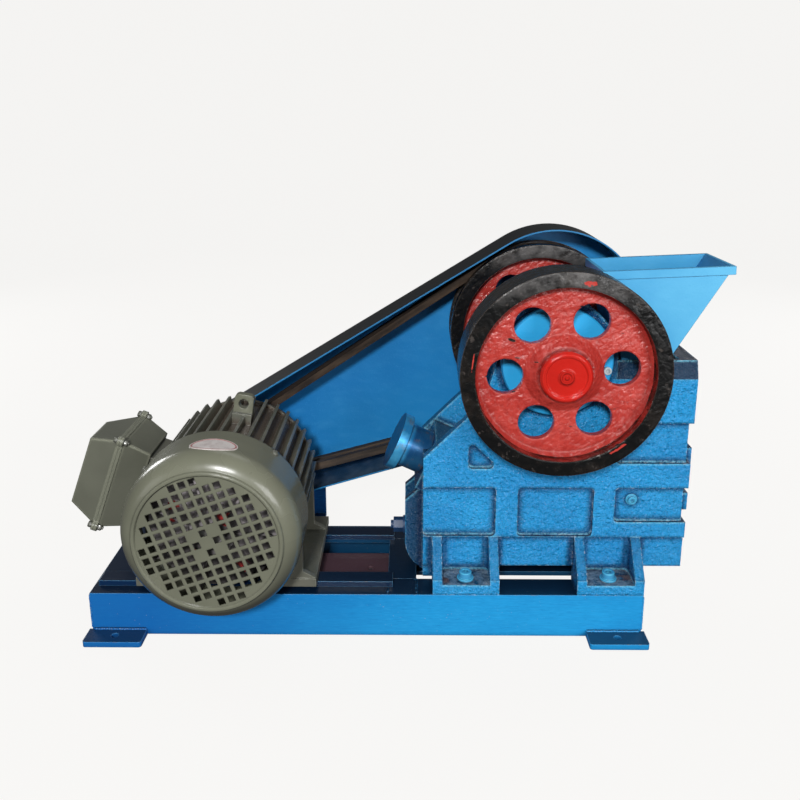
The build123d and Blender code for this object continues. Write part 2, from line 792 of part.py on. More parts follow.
def toggle_block():
    """Ram in the inclined bore, widened at its end to the toggle's width."""
    ram = toggle_bar(ram_radius, housing_start + cap_flange_thickness, housing_end + 20)
    head_end = toggle_seat_start + 1
    corners = [toggle_point(housing_end + 16, -ram_radius), toggle_point(head_end, -ram_radius),
               toggle_point(head_end, ram_radius), toggle_point(housing_end + 16, ram_radius)]
    ram += slab(area(corners), -toggle_half_width, toggle_half_width)
    x, z = toggle_point(toggle_seat_start)
    gap = toggle_thickness / 2 + toggle_gap
    return ram - rod_y(x, z, gap, -2 * toggle_half_width, 2 * toggle_half_width)


def adjusting_cap():
    """Flanged cap over the adjusting bore, seated on the housing's end."""
    cap = toggle_bar(cap_flange_radius, 0, cap_flange_thickness)
    cap += toggle_bar(adjusting_cap_radius, cap_flange_thickness, housing_start)
    return cap


def tension_rod():
    """Rod that holds the jaw against the toggle, with a washer and nut outside the rear wall."""
    seat = frame_left - rear_rib_reach
    nut_start = seat - washer_thickness - nut_length
    rod = rod_x(0, rod_z, rod_radius, nut_start - rod_tail, rod_end_x)
    rod += rod_x(0, rod_z, washer_radius, seat - washer_thickness, seat)
    plane = Plane(origin=(nut_start, 0, rod_z), x_dir=(0, 1, 0), z_dir=(1, 0, 0))
    hexagon = RegularPolygon(nut_flats / 2, 6, major_radius=False)
    return rod + extrude(plane * hexagon, amount=nut_length)


# Hopper

def mouth_height(x):
    """Height of the hopper's sloping mouth at a place along it."""
    slope = (hopper_mouth_high - hopper_mouth_low) / (hopper_mouth_right - hopper_mouth_left)
    return hopper_mouth_low + slope * (x - hopper_mouth_left)


def hopper():
    """Feed hopper of sheet steel with a folded band round its mouth."""
    outline = area([(hopper_foot_left, frame_top), (hopper_foot_right, frame_top),
                    (hopper_mouth_right, hopper_mouth_high), (hopper_mouth_left, hopper_mouth_low)])
    shell = slab(outline, -hopper_mouth_half, hopper_mouth_half)
    slope = math.atan2(hopper_mouth_high - hopper_mouth_low, hopper_mouth_right - hopper_mouth_left)
    length = (hopper_mouth_right - hopper_mouth_left) / math.cos(slope)
    middle_x = (hopper_mouth_left + hopper_mouth_right) / 2
    band = Box(length + hopper_band_proud, 2 * (hopper_mouth_half + hopper_band_proud), hopper_band,
               align=(Align.CENTER, Align.CENTER, Align.MAX))
    shell += Pos(middle_x, 0, mouth_height(middle_x)) * Rot(0, -math.degrees(slope), 0) * band
    left = hopper_mouth_left + hopper_wall
    right = hopper_mouth_right - hopper_wall
    above = hopper_mouth_high + hopper_wall
    cavity = area([(hopper_foot_left + hopper_wall, frame_top), (hopper_foot_right - hopper_wall, frame_top),
                   (right, mouth_height(right)), (right, above), (left, above), (left, mouth_height(left))])
    inner = hopper_mouth_half - hopper_wall
    return shell - slab(cavity, -inner, inner)


# Motor

def motor_foot(side):
    """Cast foot on the rail with two webs up to the barrel."""
    base = channel_height + motor_rail_thickness
    top = base + motor_foot_thickness
    half = motor_foot_length / 2
    strip = sorted((motor_x + side * motor_foot_inner, motor_x + side * motor_foot_reach))
    foot = block(*strip, -half, half, base, top)
    points = [(motor_foot_inner, base), (motor_foot_reach, base), (motor_foot_reach, top),
              (motor_foot_waist, base + motor_foot_rise), (motor_foot_waist, motor_z),
              (motor_barrel_bore, motor_z)]
    web = area([(motor_x + side * x, z) for x, z in points])
    rear = motor_foot_spacing / 2 - motor_web_inset
    for y in (motor_front, rear):
        foot += slab(web, y, y + motor_web_thickness)
    return foot


def motor_frame():
    """Finned barrel with two long feet, a neck for the terminal box and a pad for the lifting lug."""
    frame = rod_y(motor_x, motor_z, motor_barrel_radius, motor_front, motor_back)
    fin = Rectangle(fin_height + 4, fin_thickness, align=(Align.MIN, Align.CENTER))
    for n in range(fin_count):
        turn = 360 / fin_count * n
        placed = Pos(motor_x, motor_z) * Rot(0, 0, turn) * Pos(motor_barrel_radius - 4, 0) * fin
        frame += slab(placed, motor_front, motor_back)
    for side in (-1, 1):
        frame += motor_foot(side)
    frame += box_solid(motor_barrel_bore, box_flange_distance - box_base_depth, box_neck_length, box_neck_width,
                       -box_drop / 2)
    pad = Rot(0, 90 - lug_angle, 0) * block(-lug_width / 2, lug_width / 2, -lug_thickness, lug_thickness,
                                            motor_barrel_bore, motor_barrel_radius + lug_pad_height)
    frame += Pos(motor_x, 0, motor_z) * pad
    return frame - rod_y(motor_x, motor_z, motor_barrel_bore, motor_front - 1, motor_back + 1)


def motor_shield_drive():
    """Bearing shield at the belt end."""
    end = motor_back + shield_drive_length
    bore = motor_shaft_radius + running_gap
    return turned([(bore, motor_back), (shield_radius, motor_back), (shield_radius, motor_back + shield_drive_edge),
                   (shield_nose_radius, end), (bore, end)], motor_x, motor_z)


def motor_shield_fan():
    """Bearing shield inside the cowl, with four lugs that carry the cowl."""
    start = motor_front
    end = start - shield_thickness
    bore = motor_shaft_radius + running_gap
    shield = turned([(bore, start), (shield_radius, start), (shield_radius, end), (bore, end)], motor_x, motor_z)
    reach = cowl_radius - cowl_wall - cowl_seat_gap
    half = shield_lug_width / 2
    for angle in (45, 135, 225, 315):
        lug = block(shield_radius - 5, 2 * reach, end, start, -half, half)
        shield += Pos(motor_x, 0, motor_z) * Rot(0, -angle, 0) * lug
    return shield & rod_y(motor_x, motor_z, reach, end, start)


def fan_cowl():
    """Pressed cowl with a raised ring and a grid of square holes in its face."""
    front = cowl_face
    outer = rod_y(motor_x, motor_z, cowl_radius, front, motor_front)
    outer = fillet(outer.edges().filter_by(GeomType.CIRCLE).group_by(Axis.Y)[0], cowl_edge_radius)
    inner = rod_y(motor_x, motor_z, cowl_radius - cowl_wall, front + cowl_wall, motor_front + 1)
    inner = chamfer(inner.edges().filter_by(GeomType.CIRCLE).group_by(Axis.Y)[0], cowl_edge_radius - 3 * cowl_wall)
    cowl = outer - inner
    half = cowl_ring_width / 2
    root = front + cowl_wall / 2
    cowl += turned([(cowl_ring_radius - half, root), (cowl_ring_radius + half, root),
                    (cowl_ring_radius + half, front - cowl_ring_height / 3),
                    (cowl_ring_radius + half / 2, front - cowl_ring_height),
                    (cowl_ring_radius - half / 2, front - cowl_ring_height),
                    (cowl_ring_radius - half, front - cowl_ring_height / 3)], motor_x, motor_z)
    hole = Rectangle(grille_hole, grille_hole)
    span = int(grille_extent)
    cuts = []
    for column in range(-span, span + 1):
        for row in range(-span, span + 1):
            inside = column ** 2 + row ** 2 <= grille_extent ** 2
            middle = abs(column) == abs(row) and abs(column) < 2
            if inside and not middle:
                cuts.append(Pos(column * grille_pitch, row * grille_pitch) * hole)
    pattern = Pos(motor_x, motor_z) * Rot(0, 0, grille_turn) * Sketch(children=cuts)
    for face in pattern.faces():
        cowl -= slab(face, front - 1, front + 2 * cowl_wall)
    return cowl


def motor_fan():
    """Fan on the shaft behind the grille: hub, back disc and flat blades."""
    front = cowl_face + fan_gap
    back = front + fan_length
    fan = rod_y(motor_x, motor_z, fan_hub_radius, front, back)
    fan += rod_y(motor_x, motor_z, fan_radius, back - fan_blade_thickness, back)
    blade = Pos(fan_hub_radius / 2, 0) * Rectangle(fan_radius - fan_hub_radius / 2, fan_blade_thickness,
                                                   align=(Align.MIN, Align.CENTER))
    for n in range(fan_blades):
        placed = Pos(motor_x, motor_z) * Rot(0, 0, 360 / fan_blades * n) * blade
        fan += slab(placed, front, back)
    return fan - rod_y(motor_x, motor_z, motor_shaft_radius + hub_fit, front - 1, back + 1)


def motor_shaft():
    """Shaft from the fan to the pulley."""
    return rod_y(motor_x, motor_z, motor_shaft_radius, cowl_face + fan_gap, sheave_back)


def lifting_lug():
    """Square eye plate with rounded corners on top of the motor."""
    plate = Rectangle(lug_width, lug_height, align=(Align.CENTER, Align.MIN))
    plate = fillet(plate.vertices().group_by(Axis.Y)[-1], lug_width / 4)
    plate -= Pos(0, lug_height / 2) * Circle(lug_hole / 2)
    seat = motor_barrel_radius + lug_pad_height
    placed = Pos(motor_x, motor_z) * Rot(0, 0, lug_angle - 90) * Pos(0, seat) * plate
    return slab(placed, -lug_thickness / 2, lug_thickness / 2)


# Terminal box

def box_frame(distance, along=0.0):
    """Plane square to the box's axis at a distance from the motor's axis; its x runs up the box."""
    turn = math.radians(box_tilt)
    out = (-math.cos(turn), 0, math.sin(turn))
    up = (math.sin(turn), 0, math.cos(turn))
    x = motor_x + out[0] * distance + up[0] * along
    z = motor_z + out[2] * distance + up[2] * along
    return Plane(origin=(x, box_y, z), x_dir=up, z_dir=out)


def box_solid(start, end, length, width, along):
    """Straight block of the terminal box between two distances from the motor's axis."""
    return extrude(box_frame(start, along) * Rectangle(length, width), amount=end - start)


def box_ears(start, thickness):
    """Four screw ears at the corners of the box's flange."""
    ears = []
    for x in (-1, 1):
        for y in (-1, 1):
            place = Pos(x * (box_length / 2 - 2), y * (box_width / 2 - 2))
            ring = place * (Circle(box_ear_radius) - Circle(box_ear_hole / 2))
            ears.append(extrude(box_frame(start, -box_drop) * ring, amount=thickness))
    return ears


def tapered(start, end, lengths, widths, shift=0.0):
    """Block of the terminal box whose length and width change evenly between two distances."""
    depth = end - start
    long = [size / 2 for size in lengths]
    wide = [size / 2 for size in widths]
    reach = 2 * max(long + wide)
    side = area([(-long[0], 0), (long[0], 0), (shift + long[1], depth), (shift - long[1], depth)])
    front = area([(-wide[0], 0), (wide[0], 0), (wide[1], depth), (-wide[1], depth)])
    shape = extrude(Plane(origin=(0, reach, 0), x_dir=(1, 0, 0), z_dir=(0, -1, 0)) * side, amount=2 * reach)
    shape &= extrude(Plane(origin=(-reach, 0, 0), x_dir=(0, 1, 0), z_dir=(1, 0, 0)) * front, amount=2 * reach)
    return box_frame(start, -box_drop).location * shape


def terminal_box_base():
    """Lower half of the box, tapering to the motor's neck."""
    start = box_flange_distance - box_base_depth
    flange_start = box_flange_distance - box_flange_thickness
    lengths = (box_length - 2 * box_base_taper, box_length - box_flange_thickness)
    widths = (box_width - 2 * box_base_taper, box_width - box_flange_thickness)
    base = tapered(start, flange_start, lengths, widths)
    base += box_solid(flange_start, box_flange_distance, box_length, box_width, -box_drop)
    for ear in box_ears(flange_start, box_flange_thickness):
        base += ear
    inner_lengths = [size - 3 * box_wall for size in lengths]
    inner_widths = [size - 3 * box_wall for size in widths]
    return base - tapered(start + box_wall, box_flange_distance + 1, inner_lengths, inner_widths)


def terminal_box_lid():
    """Upper half of the box: a deep hollow cover that narrows to its outer face."""
    end = box_flange_distance + box_lid_depth
    lengths = (box_length - box_flange_thickness, box_lid_end_length)
    widths = (box_width - box_flange_thickness, box_lid_end_width)
    lid = tapered(box_flange_distance, end, lengths, widths, box_lid_shift)
    lid += box_solid(box_flange_distance, box_flange_distance + box_flange_thickness, box_length, box_width,
                     -box_drop)
    for ear in box_ears(box_flange_distance, box_flange_thickness):
        lid += ear
    inner_lengths = [size - 3 * box_wall for size in lengths]
    inner_widths = [size - 3 * box_wall for size in widths]
    return lid - tapered(box_flange_distance - 1, end - box_wall, inner_lengths, inner_widths, box_lid_shift)


parts = {
    "channel_front": long_channel(-1),
    "channel_rear": long_channel(1),
    "cross_member_left": cross_member(-half_length, 1),
    "cross_member_middle": cross_member(middle_member_x, 1),
    "cross_member_right": cross_member(half_length, -1),
    "centre_bar": centre_bar(),
    "motor_rail_front": motor_rail(-1),
    "motor_rail_rear": motor_rail(1),
    "foot_plate_front_left": foot_plate(-1, -1),
    "foot_plate_front_right": foot_plate(1, -1),
    "foot_plate_rear_left": foot_plate(-1, 1),
    "foot_plate_rear_right": foot_plate(1, 1),
    "crusher_frame": crusher_frame(),
    "bearing_cover_front": bearing_cover(-1),
    "bearing_cover_rear": bearing_cover(1),
    "eccentric_shaft": eccentric_shaft(),
    "flywheel_front": flywheel_front(),
    "flywheel_sheave": flywheel_sheave(),
    "hub_cap": hub_cap(),
    "swing_jaw": swing_jaw(),
    "jaw_plate_moving": jaw_plate_moving(),
    "jaw_plate_fixed": jaw_plate_fixed(),
    "cheek_plate_front": cheek_plate(-1),
    "cheek_plate_rear": cheek_plate(1),
    "toggle_plate": toggle_plate(),
    "toggle_block": toggle_block(),
    "adjusting_cap": adjusting_cap(),
    "tension_rod": tension_rod(),
    "hopper": hopper(),
    "belt_front": belt(belt_y[0]),
    "belt_rear": belt(belt_y[-1]),
    "guard": guard(),
    "guard_bracket": guard_bracket(),
    "guard_stay": guard_stay(),
    "motor_frame": motor_frame(),
    "motor_shield_drive": motor_shield_drive(),
    "motor_shield_fan": motor_shield_fan(),
    "fan_cowl": fan_cowl(),
    "motor_fan": motor_fan(),
    "motor_shaft": motor_shaft(),
    "motor_pulley": motor_pulley(),
    "terminal_box_base": terminal_box_base(),
    "terminal_box_lid": terminal_box_lid(),
    "lifting_lug": lifting_lug(),
}

os.makedirs("parts", exist_ok=True)
for name, shape in parts.items():
    export_step(single(shape), f"parts/{name}.step")
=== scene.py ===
import math
import random

import bmesh
import bpy
from mathutils import Matrix, Vector


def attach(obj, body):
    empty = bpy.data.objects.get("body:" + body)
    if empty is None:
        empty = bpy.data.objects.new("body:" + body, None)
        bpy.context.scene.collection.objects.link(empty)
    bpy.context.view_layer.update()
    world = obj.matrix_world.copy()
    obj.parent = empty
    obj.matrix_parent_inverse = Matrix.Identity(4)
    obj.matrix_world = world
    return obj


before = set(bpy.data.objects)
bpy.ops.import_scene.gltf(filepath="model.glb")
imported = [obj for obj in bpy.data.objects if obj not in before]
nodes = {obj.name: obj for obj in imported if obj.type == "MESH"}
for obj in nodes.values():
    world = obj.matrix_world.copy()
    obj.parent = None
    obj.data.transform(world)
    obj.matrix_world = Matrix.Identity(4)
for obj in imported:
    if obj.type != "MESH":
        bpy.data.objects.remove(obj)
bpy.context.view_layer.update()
print("frame loaded with", len(nodes), "nodes")

base = "base_and_frame"

# places in metres that several pieces share
shaft = {"x": 0.252, "z": 0.388}
motor = {"x": -0.192, "z": 0.183}


# one socket of a finish, with the arithmetic that the finishes use

class Link:
    def __init__(self, finish, output):
        self.finish = finish
        self.output = output

    def math(self, operation, other, swapped=False):
        first, second = (other, self) if swapped else (self, other)
        return self.finish.node("Math", {"operation": operation}, {0: first, 1: second})

    def __add__(self, other):
        return self.math("ADD", other)

    __radd__ = __add__

    def __sub__(self, other):
        return self.math("SUBTRACT", other)

    def __rsub__(self, other):
        return self.math("SUBTRACT", other, True)

    def __mul__(self, other):
        return self.math("MULTIPLY", other)

    __rmul__ = __mul__

    def __pow__(self, other):
        return self.math("POWER", other)

    def between(self, low, high):
        # 0 below low, 1 above high; low above high turns it round
        return self.finish.node("MapRange", {"clamp": True}, {0: self, 1: low, 2: high, 3: 0.0, 4: 1.0})


class Finish:
    def __init__(self, name, **constants):
        self.material = bpy.data.materials.new(name)
        self.material.use_nodes = True
        self.tree = self.material.node_tree
        self.tree.nodes.clear()
        self.shader = self.tree.nodes.new("ShaderNodeBsdfPrincipled")
        output = self.tree.nodes.new("ShaderNodeOutputMaterial")
        self.tree.links.new(self.shader.outputs[0], output.inputs[0])
        for key, value in constants.items():
            self.feed(key, value)
        self.spot = self.node("TexCoord", output="Object")

    def feed(self, key, value):
        socket = self.shader.inputs[key.replace("_", " ")]
        if isinstance(value, Link):
            self.tree.links.new(value.output, socket)
        elif isinstance(value, tuple):
            socket.default_value = (*value, 1.0)
        else:
            socket.default_value = value

    def node(self, kind, settings=None, values=None, output=0):
        made = self.tree.nodes.new("ShaderNode" + kind)
        for key, value in (settings or {}).items():
            setattr(made, key, value)
        for key, value in (values or {}).items():
            socket = made.inputs[key]
            if isinstance(value, Link):
                self.tree.links.new(value.output, socket)
            elif isinstance(value, tuple) and len(socket.default_value) == 4:
                socket.default_value = (*value, 1.0)
            else:
                socket.default_value = value
        return Link(self, made.outputs[output])

    def mix(self, factor, first, second, mode="MIX"):
        settings = {"data_type": "RGBA", "blend_type": mode, "clamp_factor": True}
        return self.node("Mix", settings, {0: factor, 6: first, 7: second}, 2)

    def stretched(self, x, y, z):
        return self.node("VectorMath", {"operation": "MULTIPLY"}, {0: self.spot, 1: (x, y, z)})

    def noise(self, scale, detail=3.0, rough=0.55, where=None):
        return self.node("TexNoise", {}, {"Vector": where or self.spot, "Scale": scale,
                                          "Detail": detail, "Roughness": rough})

    def pits(self, scale, where=None):
        return self.node("TexVoronoi", {"feature": "F1"}, {"Vector": where or self.spot, "Scale": scale})

    def spots(self, scale, low, high, detail=3.0, where=None):
        return self.noise(scale, detail, 0.55, where).between(low, high)

    def part(self, axis, source=None):
        return self.node("SeparateXYZ", {}, {0: source or self.spot}, "XYZ".index(axis))

    def facing(self, axis):
        return self.part(axis, self.node("NewGeometry", output="Normal"))

    def rounded(self, radius):
        return self.node("Bevel", {"samples": 4}, {"Radius": radius})

    def edges(self, radius, low=0.03, high=0.25):
        flat = self.node("NewGeometry", output="Normal")
        dot = self.node("VectorMath", {"operation": "DOT_PRODUCT"}, {0: self.rounded(radius), 1: flat}, "Value")
        return (1.0 - dot).between(low, high)

    def corners(self, distance):
        # 1 deep in corners, 0 in the open
        return 1.0 - self.node("AmbientOcclusion", {"samples": 6}, {"Distance": distance}, "AO")

    def away(self, x, z):
        # distance from a line along Y
        across = self.part("X") - x
        up = self.part("Z") - z
        return (across * across + up * up) ** 0.5

    def lens(self, x, z, long, high, lean):
        # 0 at the middle of a lens-shaped patch on the XZ face, 1 at its border
        along = (self.part("X") - x) * math.cos(lean) + (self.part("Z") - z) * math.sin(lean)
        over = (self.part("Z") - z) * math.cos(lean) - (self.part("X") - x) * math.sin(lean)
        return (along * along) * (1.0 / long ** 2) + (over * over) * (1.0 / high ** 2)

    def upward(self, radius):
        # how much a rounded edge turns up, below 0 where it turns down
        return self.part("Z", self.rounded(radius)) - self.facing("Z")

    def relief(self, heights, softened=None):
        # heights are (value, strength, depth in metres), laid over each other
        under = softened
        for height, strength, depth in heights:
            values = {"Strength": strength, "Distance": depth, "Height": height}
            if under:
                values["Normal"] = under
            under = self.node("Bump", {}, values)
        self.feed("Normal", under)


# finishes: colours are linear, distances in metres

blueTones = {"body": (0.010, 0.262, 0.605), "light": (0.017, 0.340, 0.720), "deep": (0.002, 0.035, 0.130),
             "shadeNavy": (0.005, 0.014, 0.032), "chip": (0.30, 0.27, 0.25), "dust": (0.55, 0.56, 0.56)}


castPaint = {"lift": 1.22, "glint": (0.060, 0.520, 0.880), "lit": (0.260, 0.760, 0.960),
             "shoulder": (0.060, 0.480, 0.820), "chip": (0.66, 0.78, 0.84), "speck": (0.74, 0.84, 0.90),
             "floorDust": (0.20, 0.30, 0.40), "rust": (0.13, 0.060, 0.035), "dust": 0.5,
             "endWallShade": (0.003, 0.022, 0.075), "endWallX": 0.0795, "endWallFade": 0.0015,
             "feedBlockShade": (0.003, 0.010, 0.035), "feedFromX": 0.325, "feedFromZ": 0.3605, "footTop": 0.0840,
             "softEdge": 0.0040}


def castBlue(name, tones=blueTones):
    # hammered enamel over a sand casting with soft edges
    paint = Finish(name, Coat_Weight=0.04, Coat_Roughness=0.2, Specular_IOR_Level=0.68)
    lump = paint.noise(430.0, 3.0, 0.62)
    dabs = paint.noise(170.0, 2.0, 0.5)
    cells = paint.pits(300.0)
    patch = paint.noise(11.0, 3.0)
    body, light = [tuple(castPaint["lift"] * c for c in tones[key]) for key in ("body", "light")]
    tone = paint.mix(patch.between(0.35, 0.68), body, light)
    tone = paint.mix(lump.between(0.52, 0.34) * 0.40, tone, tuple(0.45 * c for c in body))
    tone = paint.mix(cells.between(0.20, 0.05) * 0.35, tone, castPaint["glint"])
    # painted shade: corners and recesses darkened towards deep blue
    tone = paint.mix(paint.corners(0.011).between(0.02, 0.17) * 0.85, tone, tones["deep"])
    tone = paint.mix(paint.corners(0.022).between(0.26, 0.70) * 0.85, tone, tones["deep"])
    # painted shade: the casting's end wall, below endWallX, darkened to navy, its rounded edges less so
    endWallShade = paint.part("X").between(castPaint["endWallX"], castPaint["endWallX"] - castPaint["endWallFade"])
    tone = paint.mix(endWallShade * (1.0 - paint.edges(0.004, 0.02, 0.2) * 0.6) * 0.86, tone, castPaint["endWallShade"])
    # painted shade: faces turned towards -X darkened towards deep blue
    tone = paint.mix(paint.facing("X").between(-0.35, -0.85) * 0.6, tone, tones["deep"])
    # painted shade: top faces and undersides darkened to navy
    tone = paint.mix(paint.facing("Z").between(0.45, 0.90) * 0.80, tone, tones["shadeNavy"])
    tone = paint.mix(paint.facing("Z").between(-0.3, -0.9) * 0.7, tone, tones["shadeNavy"])
    # painted shade: the feed end's top, above feedFromZ and past feedFromX, darkened, fading out towards 0.42 m up
    aboveFeed = paint.part("Z").between(castPaint["feedFromZ"], castPaint["feedFromZ"] + 0.001)
    feed = aboveFeed * paint.part("X").between(castPaint["feedFromX"], castPaint["feedFromX"] + 0.010)
    tone = paint.mix(feed * paint.part("Z").between(0.420, 0.400) * 0.92, tone, castPaint["feedBlockShade"])
    turned = paint.upward(0.0050)  # edges that turn down are in shade, those that turn up catch the light
    tone = paint.mix(turned.between(-0.04, -0.30) * 0.75, tone, tones["deep"])
    lit = turned.between(0.03, 0.22) * lump.between(0.34, 0.54)
    tone = paint.mix(lit * 0.85, tone, castPaint["lit"])
    # painted highlight: soft rounded edges lightened in patches
    shoulder = paint.edges(castPaint["softEdge"], 0.012, 0.14) * paint.spots(60.0, 0.36, 0.56)
    tone = paint.mix(shoulder * 0.40, tone, castPaint["shoulder"])
    chips = paint.edges(0.0022, 0.03, 0.2) * paint.spots(170.0, 0.54, 0.60)
    tone = paint.mix(chips * 0.85, tone, castPaint["chip"])
    floorDust = paint.facing("Z").between(0.6, 0.9)
    floorDust = floorDust * paint.part("Z").between(castPaint["footTop"], castPaint["footTop"] - 0.004)
    tone = paint.mix(floorDust * paint.spots(52.0, 0.36, 0.56) * 0.8, tone, castPaint["floorDust"])
    dirt = paint.corners(0.006).between(0.35, 0.9) * paint.spots(45.0, 0.46, 0.62) * castPaint["dust"]
    tone = paint.mix(dirt * 0.6, tone, tones["dust"])
    specks = paint.pits(160.0).between(0.090, 0.060) * paint.spots(24.0, 0.46, 0.58) * castPaint["dust"]
    tone = paint.mix(specks, tone, castPaint["speck"])
    rust = paint.spots(33.0, 0.63, 0.69, 4.0) * paint.part("Z").between(0.14, 0.08)
    tone = paint.mix(rust * paint.facing("Z").between(0.2, 0.6) * 0.7, tone, castPaint["rust"])
    paint.feed("Base Color", tone)
    paint.feed("Roughness", 0.17 + 0.16 * lump + 0.2 * dirt)
    paint.relief([(dabs, 1.0, 0.0055), (lump, 1.0, 0.0032), (cells.between(0.0, 0.5), 0.5, 0.0010)],
                 paint.rounded(castPaint["softEdge"]))
    return paint.material


rolledPaint = {"brush": (0.006, 0.160, 0.440), "threadLight": (0.050, 0.440, 0.820),
               "threadDark": (0.004, 0.130, 0.380), "motorEndShade": (0.005, 0.095, 0.370), "motorEndX": (0.10, -0.30),
               "inside": (0.0015, 0.0080, 0.0240), "insideY": 0.0945, "insideFade": 0.0015,
               "worn": (0.14, 0.46, 0.80), "fleck": (0.65, 0.66, 0.66), "rust": (0.11, 0.055, 0.035), "dust": 0.6}


def rolledBlue(name, tones=blueTones):
    # brushed enamel on rolled channel and plate
    paint = Finish(name, Coat_Weight=0.05, Coat_Roughness=0.16, Specular_IOR_Level=0.38)
    brush = paint.noise(60.0, 4.0, 0.6, paint.stretched(0.5, 3.0, 14.0))
    cloud = paint.noise(5.0, 3.0, 0.5, paint.stretched(1.0, 1.0, 2.2))
    speck = paint.noise(420.0, 2.0)
    tone = paint.mix(cloud.between(0.32, 0.70), tones["body"], tones["light"])
    tone = paint.mix(brush.between(0.40, 0.70) * 0.30, tone, rolledPaint["brush"])
    thread = paint.noise(240.0, 3.0, 0.6, paint.stretched(0.35, 1.0, 2.6))
    tone = paint.mix(thread.between(0.54, 0.70) * 0.30, tone, rolledPaint["threadLight"])
    tone = paint.mix(thread.between(0.46, 0.32) * 0.25, tone, rolledPaint["threadDark"])
    # painted shade: darker towards the motor end, where less light falls
    tone = paint.mix(paint.part("X").between(*rolledPaint["motorEndX"]) * 0.80, tone, rolledPaint["motorEndShade"])
    # painted shade: corners darkened towards deep blue
    tone = paint.mix(paint.corners(0.012).between(0.25, 0.8) * 0.8, tone, tones["deep"])
    # painted shade: top faces darkened to navy
    tone = paint.mix(paint.facing("Z").between(0.5, 0.9) * 0.85, tone, tones["shadeNavy"])
    edge, full = rolledPaint["insideY"], rolledPaint["insideY"] - rolledPaint["insideFade"]
    inside = paint.part("Y").between(-edge, -full) * paint.part("Y").between(edge, full)
    tone = paint.mix(inside * 0.85, tone, rolledPaint["inside"])  # painted shade: the base's inside, between the channels' webs, darkened to near black
    wear = paint.edges(0.0014, 0.02, 0.2)
    tone = paint.mix(wear * 0.6, tone, rolledPaint["worn"])
    chips = wear * paint.spots(120.0, 0.56, 0.63)
    tone = paint.mix(chips * 0.8, tone, tones["chip"])
    flecks = paint.pits(170.0).between(0.080, 0.050) * paint.spots(13.0, 0.50, 0.62) * rolledPaint["dust"]
    tone = paint.mix(flecks, tone, rolledPaint["fleck"])
    rust = paint.corners(0.004).between(0.5, 0.95) * paint.spots(70.0, 0.50, 0.62) * 0.5
    tone = paint.mix(rust, tone, rolledPaint["rust"])
    paint.feed("Base Color", tone)
    paint.feed("Roughness", 0.26 + 0.20 * brush + 0.15 * flecks)
    paint.relief([(brush, 0.12, 0.0006), (speck, 0.10, 0.0003), (cloud, 0.25, 0.0030)], paint.rounded(0.0012))
    return paint.material


sheetPaint = {"streak": (0.06, 0.34, 0.66), "grain": (0.05, 0.32, 0.64), "motorEndShade": (0.003, 0.070, 0.270),
              "motorEndX": (0.06, -0.22), "dustDark": (0.010, 0.014, 0.022), "dustLight": (0.050, 0.060, 0.072),
              "lipHighlight": (0.010, 0.160, 0.380), "lipY": (0.0858, 0.0850), "corner": (0.006, 0.075, 0.25),
              "shadeSide": (0.006, 0.090, 0.300)}


def sheetBlue(name, face, light, rim=None, worn=(0.10, 0.42, 0.74)):
    # thin brushed-on enamel on sheet steel; a rim colour is for the outer side of the guard's bent rim
    paint = Finish(name, Coat_Weight=0.05, Coat_Roughness=0.2, Specular_IOR_Level=0.35)
    cloud = paint.noise(4.2, 4.0, 0.5)
    grain = paint.noise(520.0, 2.0)
    streak = paint.noise(26.0, 4.0, 0.55, paint.stretched(1.2, 1.0, 3.0))
    tone = paint.mix(cloud.between(0.33, 0.68), face, light)
    if rim:
        # painted shade: the guard darker towards the motor end
        tone = paint.mix(paint.part("X").between(*sheetPaint["motorEndX"]) * 0.55, tone, sheetPaint["motorEndShade"])
    tone = paint.mix(streak.between(0.5, 0.8) * 0.18, tone, sheetPaint["streak"])
    tone = paint.mix(grain.between(0.62, 0.72) * 0.35, tone, sheetPaint["grain"])
    if rim:
        lean = math.atan2(shaft["z"] - motor["z"], shaft["x"] - motor["x"])
        above = (paint.part("Z") - motor["z"]) * math.cos(lean) - (paint.part("X") - motor["x"]) * math.sin(lean)
        outwards = paint.facing("Z") * math.cos(lean) - paint.facing("X") * math.sin(lean)
        bent = paint.facing("Y").math("ABSOLUTE", 0.0).between(0.75, 0.45)
        tone = paint.mix((above * outwards).between(-0.002, 0.002) * bent, tone, rim)
        dusty = paint.mix(streak.between(0.40, 0.65), sheetPaint["dustDark"], sheetPaint["dustLight"])
        tone = paint.mix(bent * (1.0 - (above * outwards).between(-0.002, 0.002)) * 0.90, tone, dusty)
        # painted highlight along the guard's front lip
        tone = paint.mix(paint.part("Y").between(*sheetPaint["lipY"]), tone, sheetPaint["lipHighlight"])
    else:
        # painted shade: corners darkened
        tone = paint.mix(paint.corners(0.02).between(0.3, 0.9) * 0.45, tone, sheetPaint["corner"])
        tone = paint.mix(paint.facing("X").between(-0.25, -0.70) * 0.65, tone, sheetPaint["shadeSide"])
    wear = paint.edges(0.0012, 0.02, 0.2)
    tone = paint.mix(wear * 0.6, tone, worn)
    paint.feed("Base Color", tone)
    paint.feed("Roughness", 0.36 + 0.25 * cloud)
    ripple = paint.noise(75.0, 3.0, 0.5)
    paint.relief([(grain, 0.08, 0.0003), (ripple, 0.4, 0.0012), (cloud, 0.5, 0.0050)], paint.rounded(0.0008))
    return paint.material


# lens-shaped marks on the wheel's front: x, z, half length, half height, lean
marks = {"red": [(0.2755, 0.5045, 0.0065, 0.0032, 0.0), (0.3215, 0.2950, 0.0125, 0.0017, 0.62),
                 (0.1370, 0.4050, 0.0100, 0.0008, 1.45)],
         "dark": [(0.1860, 0.4300, 0.0044, 0.0017, -0.35), (0.2160, 0.4040, 0.0028, 0.0007, 0.1)]}


